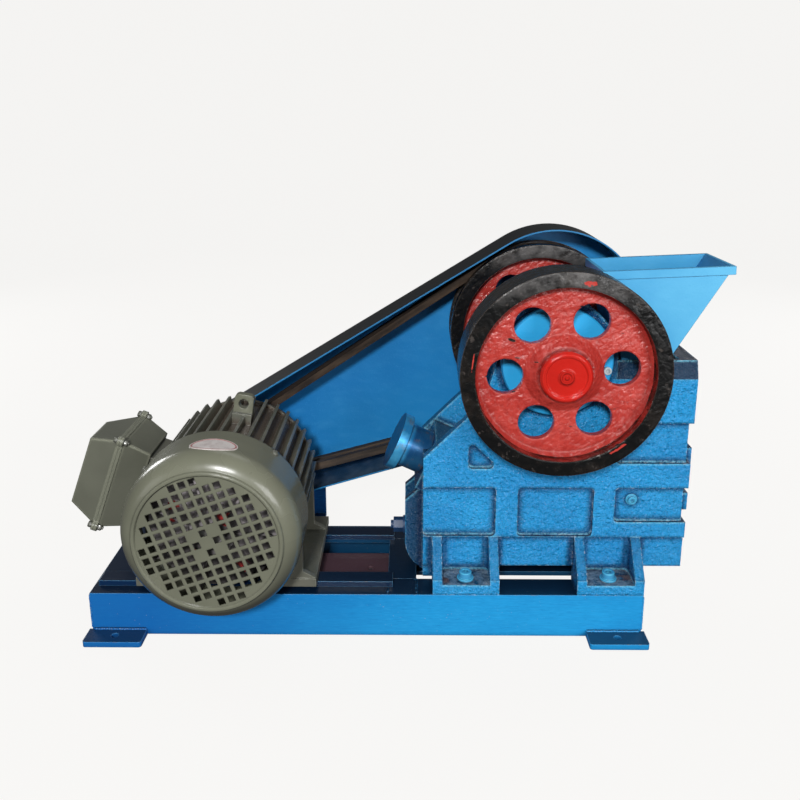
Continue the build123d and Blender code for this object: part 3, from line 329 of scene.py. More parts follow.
wheelPaint = {"red": (0.370, 0.024, 0.018), "redLight": (0.500, 0.050, 0.038), "redDark": (0.250, 0.018, 0.016),
              "corner": (0.050, 0.005, 0.005), "lit": (0.62, 0.16, 0.13), "dot": (0.72, 0.48, 0.45),
              "nick": (0.030, 0.012, 0.012), "markBorder": (0.52, 0.16, 0.14), "mark": (0.010, 0.012, 0.010),
              "black": (0.0025, 0.0025, 0.0025), "brown": (0.022, 0.014, 0.009), "scuff": (0.12, 0.10, 0.09),
              "sheen": (0.20, 0.19, 0.185), "slip": (0.45, 0.040, 0.03), "worn": (0.16, 0.12, 0.10),
              "rimFrom": 0.1113, "rimFade": 0.0004, "frontY": (-0.05, -0.07), "sheenFrom": 0.085, "sheenTo": 0.128,
              "strokeLean": 0.8}


def redWheel(name):
    # red enamel web in a black rim, with wear and a slip of red on the rim
    paint = Finish(name, Specular_IOR_Level=0.5)
    reach = paint.away(shaft["x"], shaft["z"])
    front = paint.part("Y").between(*wheelPaint["frontY"])
    wobble = paint.noise(34.0, 2.0) - 0.5
    black = (reach + wobble * 0.0022).between(wheelPaint["rimFrom"] - wheelPaint["rimFade"],
                                              wheelPaint["rimFrom"] + wheelPaint["rimFade"])
    lump = paint.noise(170.0, 4.0, 0.6)
    patch = paint.noise(16.0, 3.0)
    red = paint.mix(patch.between(0.35, 0.65), wheelPaint["red"], wheelPaint["redLight"])
    red = paint.mix(lump.between(0.56, 0.36) * 0.40, red, wheelPaint["redDark"])
    # painted shade: corners of the web darkened
    red = paint.mix(paint.corners(0.016).between(0.15, 0.60) * 0.85, red, wheelPaint["corner"])
    red = paint.mix(paint.upward(0.0035).between(0.05, 0.4) * 0.35, red, wheelPaint["lit"])
    dots = paint.pits(190.0).between(0.075, 0.045) * paint.spots(30.0, 0.52, 0.62)
    red = paint.mix(dots * 0.7, red, wheelPaint["dot"])
    nick = paint.spots(70.0, 0.690, 0.715, 2.0, paint.stretched(0.5, 1.0, 1.7))
    red = paint.mix(nick, red, wheelPaint["nick"])
    for x, z, long, high, lean in marks["dark"]:
        chip = paint.lens(x, z, long, high, lean) + wobble * 1.5
        red = paint.mix(chip.between(1.8, 1.4) * front * 0.5, red, wheelPaint["markBorder"])
        red = paint.mix(chip.between(1.2, 0.9) * front, red, wheelPaint["mark"])
    brown = paint.spots(22.0, 0.50, 0.66, 4.0)
    dark = paint.mix(brown * 0.5, wheelPaint["black"], wheelPaint["brown"])
    scuff = paint.spots(120.0, 0.62, 0.70, 4.0, paint.stretched(1.0, 0.4, 1.0))
    dark = paint.mix(scuff * 0.4, dark, wheelPaint["scuff"])
    sheen = paint.part("Z").between(shaft["z"] + wheelPaint["sheenFrom"], shaft["z"] + wheelPaint["sheenTo"])
    sheen = sheen * paint.facing("Y").between(-0.5, -0.9)
    dark = paint.mix(sheen * paint.spots(48.0, 0.35, 0.60) * 0.55, dark, wheelPaint["sheen"])
    ragged = (paint.noise(190.0, 2.0) - 0.5) * 5.0
    for x, z, long, high, lean in marks["red"]:
        slip = paint.lens(x, z, long, high, lean) + ragged
        dark = paint.mix(slip.between(1.1, 0.9) * front, dark, wheelPaint["slip"])
    tone = paint.mix(black, red, dark)
    tone = paint.mix(paint.edges(0.0018, 0.02, 0.2) * black * 0.5, tone, wheelPaint["worn"])
    paint.feed("Base Color", tone)
    paint.feed("Roughness", 0.16 + 0.16 * lump + 0.10 * brown * black)
    leaning = paint.node("VectorRotate", {"rotation_type": "Y_AXIS"},
                         {0: paint.spot, "Angle": wheelPaint["strokeLean"]})
    strokes = paint.node("VectorMath", {"operation": "MULTIPLY"}, {0: leaning, 1: (0.65, 1.0, 1.35)})
    dabs = paint.noise(140.0, 3.0, 0.55, strokes)
    calm = 1.0 - 0.65 * black
    swell = paint.noise(40.0, 2.0)
    paint.relief([(swell * calm, 0.8, 0.0050), (dabs * calm, 0.8, 0.0026), (lump * calm, 0.8, 0.0018)],
                 paint.rounded(0.0035))
    return paint.material


enamelPaint = {"grime": (0.05, 0.04, 0.03), "cloudLift": 1.22, "wearLift": 2.2, "edgeHighlightLift": 2.8, "chipLift": 1.5,
               "ringFade": 0.0006}


def enamel(name, tone, dark, rough=0.2, lumpy=0.2, coat=0.6, shade=0.6, soft=0.0016, rings=None, edgeHighlight=0.0,
           under=0.0):
    # smooth thick gloss paint; rings are raised turned rings about the crusher's shaft
    paint = Finish(name, Coat_Weight=coat, Coat_Roughness=0.07, Specular_IOR_Level=0.5)
    cloud = paint.noise(12.0, 3.0)
    lump = paint.noise(150.0, 3.0)
    colour = paint.mix(cloud.between(0.35, 0.70), tone, tuple(enamelPaint["cloudLift"] * c for c in tone))
    # painted shade: corners darkened, as much as shade says
    colour = paint.mix(paint.corners(0.008).between(0.25, 0.9) * shade, colour, dark)
    dirt = paint.corners(0.005).between(0.4, 0.9) * paint.spots(60.0, 0.45, 0.62)
    colour = paint.mix(dirt * 0.5, colour, enamelPaint["grime"])
    # painted shade: faces turned down darkened, as much as under says
    colour = paint.mix(paint.facing("Z").between(0.05, -0.50) * under, colour, dark)
    wear = paint.edges(0.0012, 0.02, 0.22) * paint.spots(50.0, 0.42, 0.6)
    colour = paint.mix(wear * 0.35, colour, tuple(min(1.0, enamelPaint["wearLift"] * c + 0.05) for c in tone))
    # painted highlight: lighter paint along rounded edges
    if edgeHighlight:
        edgeHighlightTone = tuple(min(1.0, enamelPaint["edgeHighlightLift"] * c) for c in tone)
        colour = paint.mix(paint.edges(soft, 0.002, 0.045) * edgeHighlight, colour, edgeHighlightTone)
    chips = paint.pits(46.0).between(0.075, 0.055) * paint.spots(15.0, 0.58, 0.66)
    colour = paint.mix(chips * 0.6, colour, tuple(min(1.0, enamelPaint["chipLift"] * c + 0.16) for c in tone))
    paint.feed("Base Color", colour)
    paint.feed("Roughness", rough + 0.12 * cloud)
    heights = [(lump, lumpy, 0.0012), (cloud, 0.35, 0.0030)]
    if rings:
        reach = paint.away(shaft["x"], shaft["z"])
        fade = enamelPaint["ringFade"]
        for inside, outside in rings:
            raised = reach.between(inside - fade, inside + fade) * reach.between(outside + fade, outside - fade)
            heights.append((raised, 1.0, 0.0022))
    paint.relief(heights, paint.rounded(soft))
    return paint.material


motorPaint = {"grey": (0.095, 0.100, 0.080), "greyLight": (0.170, 0.165, 0.130), "dust": (0.080, 0.054, 0.036),
              "dustFrom": (0.1065, 0.0970), "corner": (0.014, 0.012, 0.010), "worn": (0.36, 0.37, 0.31)}


def motorCastGrey(name):
    # the same gloss paint over finned cast iron, dusty brown between the fins
    paint = Finish(name, Coat_Weight=0.1, Coat_Roughness=0.14, Specular_IOR_Level=0.5)
    lump = paint.noise(230.0, 4.0, 0.6)
    cloud = paint.noise(14.0, 3.0)
    colour = paint.mix(cloud.between(0.35, 0.70), motorPaint["grey"], motorPaint["greyLight"])
    deep = paint.away(motor["x"], motor["z"]).between(*motorPaint["dustFrom"])
    colour = paint.mix(deep * 0.80, colour, motorPaint["dust"])
    # painted shade: corners darkened
    colour = paint.mix(paint.corners(0.010).between(0.45, 0.95) * 0.6, colour, motorPaint["corner"])
    wear = paint.edges(0.0016, 0.02, 0.20)
    colour = paint.mix(wear * paint.spots(80.0, 0.34, 0.54) * 0.7, colour, motorPaint["worn"])
    paint.feed("Base Color", colour)
    paint.feed("Roughness", 0.22 + 0.25 * lump)
    paint.relief([(lump, 0.5, 0.0012)], paint.rounded(0.0014))
    return paint.material


def bareMetal(name, tone, rough=0.35, turnedAbout=None, stain=(0.10, 0.07, 0.05), stained=0.4):
    # machined steel or iron, with turning rings and stain
    metal = Finish(name, Metallic=1.0)
    cloud = metal.noise(40.0, 4.0)
    fine = metal.noise(900.0, 2.0)
    colour = metal.mix(cloud.between(0.4, 0.7) * stained, tone, stain)
    # painted shade: corners darkened
    colour = metal.mix(metal.corners(0.006).between(0.3, 0.9) * 0.6, colour, tuple(0.25 * c for c in tone))
    metal.feed("Base Color", colour)
    metal.feed("Roughness", rough + 0.2 * cloud)
    heights = [(fine, 0.15, 0.0002)]
    if turnedAbout:
        rings = metal.away(*turnedAbout) * 5200.0  # a turning mark about every 1.2 mm
        heights.append((rings.math("SINE", 0.0), 0.10, 0.00012))
    metal.relief(heights, metal.rounded(0.0006))
    return metal.material


capPaint = {"tilt": 24.8, "blue": (0.020, 0.230, 0.520), "blueLight": (0.08, 0.46, 0.80), "ring": (0.26, 0.62, 0.84),
            "barrel": (0.003, 0.040, 0.150), "barrelFrom": (-0.052, -0.048), "shadeSide": (0.003, 0.030, 0.100),
            "rust": (0.20, 0.13, 0.075), "corner": (0.010, 0.030, 0.055)}


def wornBlueSteel(name):
    # turned steel under thin worn paint, along the inclined toggle axis
    paint = Finish(name, Coat_Weight=0.2, Coat_Roughness=0.12, Metallic=0.5)
    tilt = math.radians(capPaint["tilt"])
    along = paint.node("VectorMath", {"operation": "DOT_PRODUCT"},
                       {0: paint.spot, 1: (math.cos(tilt), 0.0, -math.sin(tilt))}, "Value")
    rings = paint.node("TexNoise", {}, {"Vector": paint.node("CombineXYZ", {}, {0: along}), "Scale": 420.0,
                                        "Detail": 3.0})
    cloud = paint.noise(30.0, 4.0)
    colour = paint.mix(cloud.between(0.4, 0.62), capPaint["blue"], capPaint["blueLight"])
    colour = paint.mix(rings.between(0.55, 0.75) * 0.4, colour, capPaint["ring"])
    colour = paint.mix(along.between(*capPaint["barrelFrom"]) * 0.75, colour, capPaint["barrel"])
    colour = paint.mix(paint.facing("X").between(-0.80, -0.90) * 0.92, colour, capPaint["shadeSide"])
    rust = paint.spots(48.0, 0.56, 0.66, 4.0) * rings.between(0.35, 0.6)
    colour = paint.mix(rust * 0.7, colour, capPaint["rust"])
    # painted shade: corners darkened
    colour = paint.mix(paint.corners(0.010).between(0.25, 0.85) * 0.8, colour, capPaint["corner"])
    paint.feed("Base Color", colour)
    paint.feed("Roughness", 0.25 + 0.2 * cloud)
    paint.relief([(rings, 0.15, 0.0004)], paint.rounded(0.0014))
    return paint.material


beltCover = {"dark": (0.020, 0.014, 0.011), "brown": (0.070, 0.046, 0.030), "thread": (0.13, 0.10, 0.07)}


def beltRubber(name):
    # V-belt: dull brown fabric cover with fine ribs along its run
    rubber = Finish(name, Specular_IOR_Level=0.3)
    weave = rubber.noise(700.0, 2.0, 0.6)
    streak = rubber.noise(90.0, 3.0, 0.6, rubber.stretched(0.15, 4.0, 0.4))
    colour = rubber.mix(streak.between(0.35, 0.7), beltCover["dark"], beltCover["brown"])
    colour = rubber.mix(weave.between(0.6, 0.75) * 0.4, colour, beltCover["thread"])
    rubber.feed("Base Color", colour)
    rubber.feed("Roughness", 0.62 + 0.2 * weave)
    rubber.relief([(weave, 0.3, 0.0004)], rubber.rounded(0.0008))
    return rubber.material


fanTones = {"dark": (0.055, 0.050, 0.050), "light": (0.36, 0.33, 0.34), "low": (0.035, 0.032, 0.030),
            "lowFrom": 0.01, "lowTo": -0.05, "redSpot": (0.25, 0.02, 0.02)}


def fanPlastic(name):
    # moulded fan behind the grille, painted shade low down, with a few red spots of paint
    plastic = Finish(name, Coat_Weight=0.2, Coat_Roughness=0.2)
    cloud = plastic.noise(24.0, 3.0)
    colour = plastic.mix(cloud.between(0.40, 0.60), fanTones["dark"], fanTones["light"])
    # painted shade: the fan darker below the motor's axis
    low = plastic.part("Z").between(motor["z"] + fanTones["lowFrom"], motor["z"] + fanTones["lowTo"])
    colour = plastic.mix(low * 0.75, colour, fanTones["low"])
    colour = plastic.mix(plastic.spots(30.0, 0.66, 0.68, 1.0), colour, fanTones["redSpot"])
    plastic.feed("Base Color", colour)
    plastic.feed("Roughness", 0.35 + 0.2 * cloud)
    plastic.relief([(plastic.noise(400.0), 0.1, 0.0003)])
    return plastic.material


# the bare oval plate on the cowl, in metres, with its angle from upright
label = {"angle": 3.0, "y": -0.134, "halfAcross": 0.031, "halfAlong": 0.0165, "thick": 0.0006, "border": 0.90,
         "raised": 0.0003, "edge": -0.0008, "shift": 0.006, "steps": 48, "field": (0.66, 0.61, 0.59),
         "smudge": (0.36, 0.28, 0.27), "line": (0.32, 0.035, 0.03)}


def labelFace(name):
    # a bare oval plate: plain pale field with a thin dark border
    plate = Finish(name, Coat_Weight=0.4, Coat_Roughness=0.1)
    smudge = plate.noise(90.0, 4.0)
    colour = plate.mix(smudge.between(0.45, 0.72) * 0.6, label["field"], label["smudge"])
    across = (plate.part("X") - motor["x"] - label["shift"]) * (1.0 / label["halfAcross"])
    deep = (plate.part("Y") - label["y"]) * (1.0 / label["halfAlong"])
    rim = across * across + deep * deep
    line = rim.between(0.74, 0.78) * rim.between(0.90, 0.86)
    colour = plate.mix(line * 0.8, colour, label["line"])
    plate.feed("Base Color", colour)
    plate.feed("Roughness", 0.3 + 0.2 * smudge)
    return plate.material


finishes = {
    "cast": castBlue("cast_blue"),
    "cover": sheetBlue("cover_blue", (0.014, 0.330, 0.700), (0.030, 0.460, 0.850)),
    # painted shade: a darker copy of the cast paint for the parts inside the frame
    "castInsideShaded": castBlue("cast_blue_inside_shaded", {**blueTones, "body": (0.010, 0.105, 0.290),
                                                "light": (0.020, 0.180, 0.420)}),
    "rolled": rolledBlue("rolled_blue"),
    # painted shade: a darker copy of the rolled paint for the motor rails and the guard bracket
    "rail": rolledBlue("rail_blue_shaded", {**blueTones, "body": (0.002, 0.020, 0.065), "light": (0.003, 0.035, 0.110)}),
    "guard": sheetBlue("guard_blue", (0.006, 0.190, 0.500), (0.012, 0.270, 0.620), rim=(0.0015, 0.0030, 0.0045)),
    # on the hopper the edges are darkened, not lightened
    "hopper": sheetBlue("hopper_blue", (0.028, 0.280, 0.560), (0.130, 0.520, 0.800), worn=(0.006, 0.070, 0.220)),
    "wheel": redWheel("wheel_red_black"),
    "cap": enamel("cap_red", (0.46, 0.012, 0.007), (0.10, 0.004, 0.004), 0.10, 0.5, 0.3, soft=0.0026,
                  rings=[(-0.002, 0.0025), (0.0058, 0.0085)], edgeHighlight=0.25),
    "cowl": enamel("motor_grey", (0.144, 0.148, 0.108), (0.026, 0.026, 0.020), 0.20, 0.06, 0.15, 0.45, soft=0.0026,
                   under=0.85),
    "box": enamel("terminal_box_grey", (0.128, 0.132, 0.100), (0.020, 0.020, 0.016), 0.24, 0.15, 0.6, 0.6,
                  soft=0.0060, edgeHighlight=0.8, under=0.5),
    "motorCast": motorCastGrey("motor_cast_grey"),
    "steel": bareMetal("machined_steel", (0.42, 0.41, 0.40)),
    "screwSteel": enamel("screw_grey", (0.42, 0.47, 0.50), (0.06, 0.07, 0.08), 0.3, 0.2, 0.3),
    "shaftSteel": bareMetal("shaft_steel", (0.45, 0.44, 0.43), 0.25, (shaft["x"], shaft["z"])),
    "manganese": bareMetal("manganese_steel", (0.16, 0.14, 0.13), 0.5, None, (0.09, 0.05, 0.03), 0.7),
    "pulley": bareMetal("pulley_iron", (0.14, 0.14, 0.15), 0.4, (motor["x"], motor["z"])),
    "wornBlue": wornBlueSteel("worn_blue_steel"),
    "belt": beltRubber("belt_rubber"),
    "fan": fanPlastic("fan_plastic"),
    "primer": enamel("primer_brown", (0.070, 0.034, 0.045), (0.018, 0.012, 0.018), 0.45, 0.2, 0.1),
    "label": labelFace("label_face"),
    "rod": enamel("rod_blue", (0.010, 0.040, 0.110), (0.002, 0.006, 0.016), 0.45, 0.4, 0.05, edgeHighlight=0.35),
    "screwBlue": enamel("screw_blue", (0.045, 0.270, 0.490), (0.003, 0.030, 0.090), 0.20, 0.4, 0.2, 0.8, edgeHighlight=0.6),
    "greyHardware": enamel("grey_hardware", (0.105, 0.108, 0.088), (0.02, 0.02, 0.016), 0.28, 0.2, 0.4),
}
print("finishes made:", len(finishes))

nodeFinish = {
    "cast": ["crusher_frame"],
    "cover": ["bearing_cover_front", "bearing_cover_rear"],
    "castInsideShaded": ["swing_jaw", "toggle_block"],
    "rolled": ["channel_front", "channel_rear", "cross_member_left", "cross_member_middle", "cross_member_right",
               "foot_plate_front_left", "foot_plate_front_right", "foot_plate_rear_left", "foot_plate_rear_right",
               "guard_stay"],
    "rail": ["motor_rail_front", "motor_rail_rear", "guard_bracket"],
    "rod": ["tension_rod"],
    "guard": ["guard"],
    "hopper": ["hopper"],
    "wheel": ["flywheel_front", "flywheel_sheave"],
    "cap": ["hub_cap"],
    "cowl": ["fan_cowl", "lifting_lug"],
    "box": ["terminal_box_lid", "terminal_box_base"],
    "motorCast": ["motor_frame", "motor_shield_drive", "motor_shield_fan"],
    "steel": ["motor_shaft", "toggle_plate"],
    "shaftSteel": ["eccentric_shaft"],
    "manganese": ["jaw_plate_moving", "jaw_plate_fixed", "cheek_plate_front", "cheek_plate_rear"],
    "pulley": ["motor_pulley"],
    "wornBlue": ["adjusting_cap"],
    "belt": ["belt_front", "belt_rear"],
    "fan": ["motor_fan"],
    "primer": ["centre_bar"],
}
for finishName, members in nodeFinish.items():
    for member in members:
        mesh = nodes[member].data
        mesh.materials.clear()
        mesh.materials.append(finishes[finishName])
print("nodes finished:", sum(len(members) for members in nodeFinish.values()))


# mesh helpers

def facing(point, direction, spin=0.0):
    turned = Vector(direction).to_track_quat("Z", "Y").to_matrix().to_4x4()
    return Matrix.Translation(point) @ turned @ Matrix.Rotation(spin, 4, "Z")


def ringPoint(radius, angle, shape):
    if shape == "hex":
        radius = radius / math.cos((angle % (math.pi / 3)) - math.pi / 6)
    return radius * math.cos(angle), radius * math.sin(angle)


def turn(bm, profile, place, sides=24):
    # profile steps are (radius, height) or (flat to flat half, height, "hex")
    rings = []
    for step in profile:
        radius, height = step[:2]
        shape = step[2] if len(step) > 2 else "round"
        if radius < 1e-7:
            rings.append([bm.verts.new(place @ Vector((0, 0, height)))])
            continue
        ring = []
        for n in range(sides):
            x, y = ringPoint(radius, 2 * math.pi * n / sides, shape)
            ring.append(bm.verts.new(place @ Vector((x, y, height))))
        rings.append(ring)
    for low, high in zip(rings, rings[1:]):
        for n in range(sides):
            m = (n + 1) % sides
            corners = [low[n % len(low)], low[m % len(low)], high[m % len(high)], high[n % len(high)]]
            corners = list(dict.fromkeys(corners))
            if len(corners) > 2:
                bm.faces.new(corners)


def finishPiece(name, bm, body, finish, sharp=0.6):
    bmesh.ops.recalc_face_normals(bm, faces=bm.faces)
    for edge in bm.edges:
        edge.smooth = edge.calc_face_angle(0.0) < sharp
    mesh = bpy.data.meshes.new(name)
    bm.to_mesh(mesh)
    bm.free()
    for polygon in mesh.polygons:
        polygon.use_smooth = True
    mesh.materials.append(finishes[finish])
    piece = bpy.data.objects.new(name, mesh)
    bpy.context.scene.collection.objects.link(piece)
    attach(piece, body)


def capScrew(bm, place, radius, height):
    # round head with a hexagon socket
    socket = radius * 0.52
    depth = height * 0.55
    turn(bm, [(0, 0), (radius, 0), (radius, height * 0.9), (radius * 0.93, height), (socket, height, "hex"),
              (socket, height - depth, "hex"), (0, height - depth)], place, 36)


def hexBolt(bm, place, flats, height, shank=0.0, stub=0.0):
    # hexagon head on its round collar, with the thread's end past it where there is a stub
    half = flats / 2
    steps = [(0, 0), (half * 1.08, 0), (half * 1.08, height * 0.08), (half, height * 0.10, "hex"),
             (half, height * 0.82, "hex"), (half * 0.93, height)]
    if stub:
        steps += [(shank, height), (shank, height + stub * 0.8), (shank * 0.8, height + stub)]
    turn(bm, steps + [(0, height + stub)], place, 36)


def washer(bm, place, radius, thickness):
    turn(bm, [(0, 0), (radius, 0), (radius, thickness * 0.7), (radius * 0.96, thickness), (0, thickness)], place, 32)


def roundScrew(bm, place, radius, height):
    # domed head with a round recess
    steps = [(0, 0), (radius, 0)]
    steps += [(radius * math.cos(t), height * (0.25 + 0.75 * math.sin(t))) for t in (0.0, 0.35, 0.7, 1.05)]
    steps += [(radius * 0.32, height * 0.98), (radius * 0.28, height * 0.55), (0, height * 0.55)]
    turn(bm, steps, place, 24)


def weld(bm, start, end, radius, rng, lean=(0, -1, 1)):
    # rippled bead along a line, lying in the corner that lean points out of
    start, end = Vector(start), Vector(end)
    along = (end - start).normalized()
    out = Vector(lean).normalized()
    side = along.cross(out)
    length = (end - start).length
    steps = max(6, int(length / (radius * 0.42)))
    rings = []
    for n in range(steps + 1):
        place = start + along * (length * n / steps)
        size = radius * (0.86 + 0.16 * math.cos(n * 2.1) + rng.uniform(-0.10, 0.10))
        if n in (0, steps):
            size *= 0.35
        drift = rng.uniform(-0.12, 0.12) * radius
        ring = []
        for k in range(9):
            turned = math.pi * (k / 8 - 0.5) * 1.5
            sideways = side * (math.sin(turned) * size + drift)
            ring.append(bm.verts.new(place + sideways + out * math.cos(turned) * size))
        rings.append(ring)
    for low, high in zip(rings, rings[1:]):
        for k in range(8):
            bm.faces.new((low[k], low[k + 1], high[k + 1], high[k]))
        bm.faces.new((low[8], low[0], high[0], high[8]))
    bm.faces.new(rings[0])
    bm.faces.new(list(reversed(rings[-1])))


# crusher frame hardware

frameScrews = {"x": (0.1375, 0.3345), "y": 0.078, "z": 0.078, "head": 0.0085, "height": 0.0085, "spin": 0.3,
               "washer": 0.0115, "washerThick": 0.0025}
bm = bmesh.new()
for x in frameScrews["x"]:
    for side in (-1, 1):
        point = Vector((x, side * frameScrews["y"], frameScrews["z"]))
        washer(bm, facing(point, (0, 0, 1)), frameScrews["washer"], frameScrews["washerThick"])
        point.z += frameScrews["washerThick"]
        capScrew(bm, facing(point, (0, 0, 1), frameScrews["spin"]), frameScrews["head"], frameScrews["height"])
finishPiece("frame_foot_screws", bm, base, "screwBlue")

linerScrews = {"x": 0.3655, "z": 0.1865, "y": 0.055, "head": 0.0055, "height": 0.005, "washer": 0.008,
               "washerThick": 0.0015}
bm = bmesh.new()
for side in (-1, 1):
    point = Vector((linerScrews["x"], side * linerScrews["y"], linerScrews["z"]))
    washer(bm, facing(point, (0, side, 0)), linerScrews["washer"], linerScrews["washerThick"])
    point.y += side * linerScrews["washerThick"]
    capScrew(bm, facing(point, (0, side, 0)), linerScrews["head"], linerScrews["height"])
finishPiece("side_liner_screws", bm, base, "screwBlue")

coverScrews = {"ring": 0.0655, "angles": (-9.0, 171.0), "face": 0.074, "head": 0.0052, "height": 0.0045}
bm = bmesh.new()
for side in (-1, 1):
    for degrees in coverScrews["angles"]:
        angle = math.radians(degrees)
        point = Vector((shaft["x"] + coverScrews["ring"] * math.cos(angle), side * coverScrews["face"],
                        shaft["z"] + coverScrews["ring"] * math.sin(angle)))
        capScrew(bm, facing(point, (0, side, 0)), coverScrews["head"], coverScrews["height"])
finishPiece("bearing_cover_screws", bm, base, "screwSteel")

guardBolts = {"places": ((0.397, 0.162, 0.350), (-0.100, 0.168, 0.158), (-0.100, 0.168, 0.196)), "flats": 0.013,
              "height": 0.0052, "spin": 0.3, "washer": 0.0105, "washerThick": 0.0014}
bm = bmesh.new()
for x, y, z in guardBolts["places"]:
    washer(bm, facing((x, y, z), (0, 1, 0)), guardBolts["washer"], guardBolts["washerThick"])
    hexBolt(bm, facing((x, y + guardBolts["washerThick"], z), (0, 1, 0), guardBolts["spin"]), guardBolts["flats"],
            guardBolts["height"])
finishPiece("guard_bolts", bm, base, "steel")
print("crusher hardware placed")

# motor hardware

footBolts = {"x": 0.095, "y": 0.070, "z": 0.083, "flats": 0.014, "height": 0.0065, "spin": 0.4,
             "washer": 0.0088, "washerThick": 0.002}
bm = bmesh.new()
for across in (-1, 1):
    for along in (-1, 1):
        point = Vector((motor["x"] + across * footBolts["x"], along * footBolts["y"], footBolts["z"]))
        washer(bm, facing(point, (0, 0, 1)), footBolts["washer"], footBolts["washerThick"])
        point.z += footBolts["washerThick"]
        hexBolt(bm, facing(point, (0, 0, 1), footBolts["spin"] * across), footBolts["flats"], footBolts["height"])
finishPiece("motor_foot_bolts", bm, base, "steel")

cowlScrews = {"radius": 0.1158, "y": -0.095, "angles": (49.0, 147.0, 229.0, 327.0), "head": 0.0055,
              "height": 0.0035}
bm = bmesh.new()
for degrees in cowlScrews["angles"]:
    angle = math.radians(degrees)
    out = Vector((math.cos(angle), 0, math.sin(angle)))
    point = Vector((motor["x"], cowlScrews["y"], motor["z"])) + out * cowlScrews["radius"]
    roundScrew(bm, facing(point, out), cowlScrews["head"], cowlScrews["height"])
finishPiece("cowl_screws", bm, base, "greyHardware")

boxScrews = {"tilt": 20.6, "distance": 0.164, "drop": 0.041, "along": 0.068, "across": 0.050, "y": 0.004,
             "flange": 0.004, "flats": 0.008, "height": 0.005, "washer": 0.0055, "washerThick": 0.0008,
             "shank": 0.0024, "stub": 0.002}
tilt = math.radians(boxScrews["tilt"])
boxOut = Vector((-math.cos(tilt), 0, math.sin(tilt)))
boxUp = Vector((math.sin(tilt), 0, math.cos(tilt)))
bm = bmesh.new()
for high in (-1, 1):
    for side in (-1, 1):
        point = (Vector((motor["x"], boxScrews["y"] + side * boxScrews["across"], motor["z"]))
                 + boxOut * boxScrews["distance"] + boxUp * (high * boxScrews["along"] - boxScrews["drop"]))
        for way in (-1, 1):
            start = point + boxOut * way * boxScrews["flange"]
            washer(bm, facing(start, boxOut * way), boxScrews["washer"], boxScrews["washerThick"])
            hexBolt(bm, facing(start + boxOut * way * boxScrews["washerThick"], boxOut * way), boxScrews["flats"],
                    boxScrews["height"], boxScrews["shank"], boxScrews["stub"] if way < 0 else 0.0)
finishPiece("terminal_box_screws", bm, base, "greyHardware")

cowl = {"radius": 0.116, "bendFrom": -0.144, "bendRadius": 0.028}


def cowlPoint(across, along, lift=0.0):
    # the plate follows the cowl, also where its front edge begins to curve in
    radius = cowl["radius"] + label["thick"]
    angle = math.radians(90 - label["angle"]) - across / radius
    past = max(0.0, cowl["bendFrom"] - label["y"] - along)
    out = radius + lift - cowl["bendRadius"] + (cowl["bendRadius"] ** 2 - past ** 2) ** 0.5
    return Vector((motor["x"] + out * math.cos(angle), label["y"] + along, motor["z"] + out * math.sin(angle)))


bm = bmesh.new()
rings = []
for share, lift in ((0.0, 0.0), (0.45, 0.0), (label["border"], 0.0), (label["border"], label["raised"]),
                    (1.0, label["raised"]), (1.0, label["edge"])):
    ring = []
    for n in range(label["steps"]):
        angle = 2 * math.pi * n / label["steps"]
        ring.append(bm.verts.new(cowlPoint(label["halfAcross"] * share * math.cos(angle),
                                           label["halfAlong"] * share * math.sin(angle), lift)))
    rings.append(ring)
for low, high in zip(rings, rings[1:]):
    for n in range(label["steps"]):
        m = (n + 1) % label["steps"]
        bm.faces.new((low[n], low[m], high[m], high[n]))
bmesh.ops.remove_doubles(bm, verts=bm.verts, dist=1e-6)
finishPiece("blank_label", bm, base, "label")
print("motor hardware placed")

# weld beads on the base

welds = {"plate": 0.0028, "plateTop": 0.008, "plateX": (0.304, 0.378), "plateY": 0.0962,
         "member": 0.0022, "memberTop": 0.063, "members": ((0.0302, -1, 0.080), (0.0698, 1, 0.057)), "memberY": 0.091,
         "corner": 0.0016, "cornerX": 0.3798, "cornerY": 0.0955, "cornerZ": (0.010, 0.061), "cornerLean": 0.38}
rng = random.Random(7)
bm = bmesh.new()
for end in (-1, 1):
    low, high = sorted(end * x for x in welds["plateX"])
    for side in (-1, 1):
        y = side * welds["plateY"]
        weld(bm, (low, y, welds["plateTop"]), (high, y, welds["plateTop"]), welds["plate"], rng, (0, side, 1))
for x, lean, near in welds["members"]:
    for side in (-1, 1):
        weld(bm, (x, side * near, welds["memberTop"]), (x, side * welds["memberY"], welds["memberTop"]),
             welds["member"], rng, (lean, 0, 1))
for end in (-1, 1):
    for side in (-1, 1):
        x, y = end * welds["cornerX"], side * welds["cornerY"]
        low, high = welds["cornerZ"]
        weld(bm, (x, y, low), (x, y, high), welds["corner"], rng, (x, side * welds["cornerLean"], 0))
finishPiece("base_welds", bm, base, "rolled", 1.2)
print("welds laid")

# floor, light and camera

studio = {"floor": (0.925, 0.917, 0.902), "catch": 0.045, "glow": 0.972, "reach": 3.6, "round": 1.2, "height": 5.0,
          "steps": 12, "sides": 96, "room": (0.95, 0.97, 1.0), "roomGlow": 0.10}


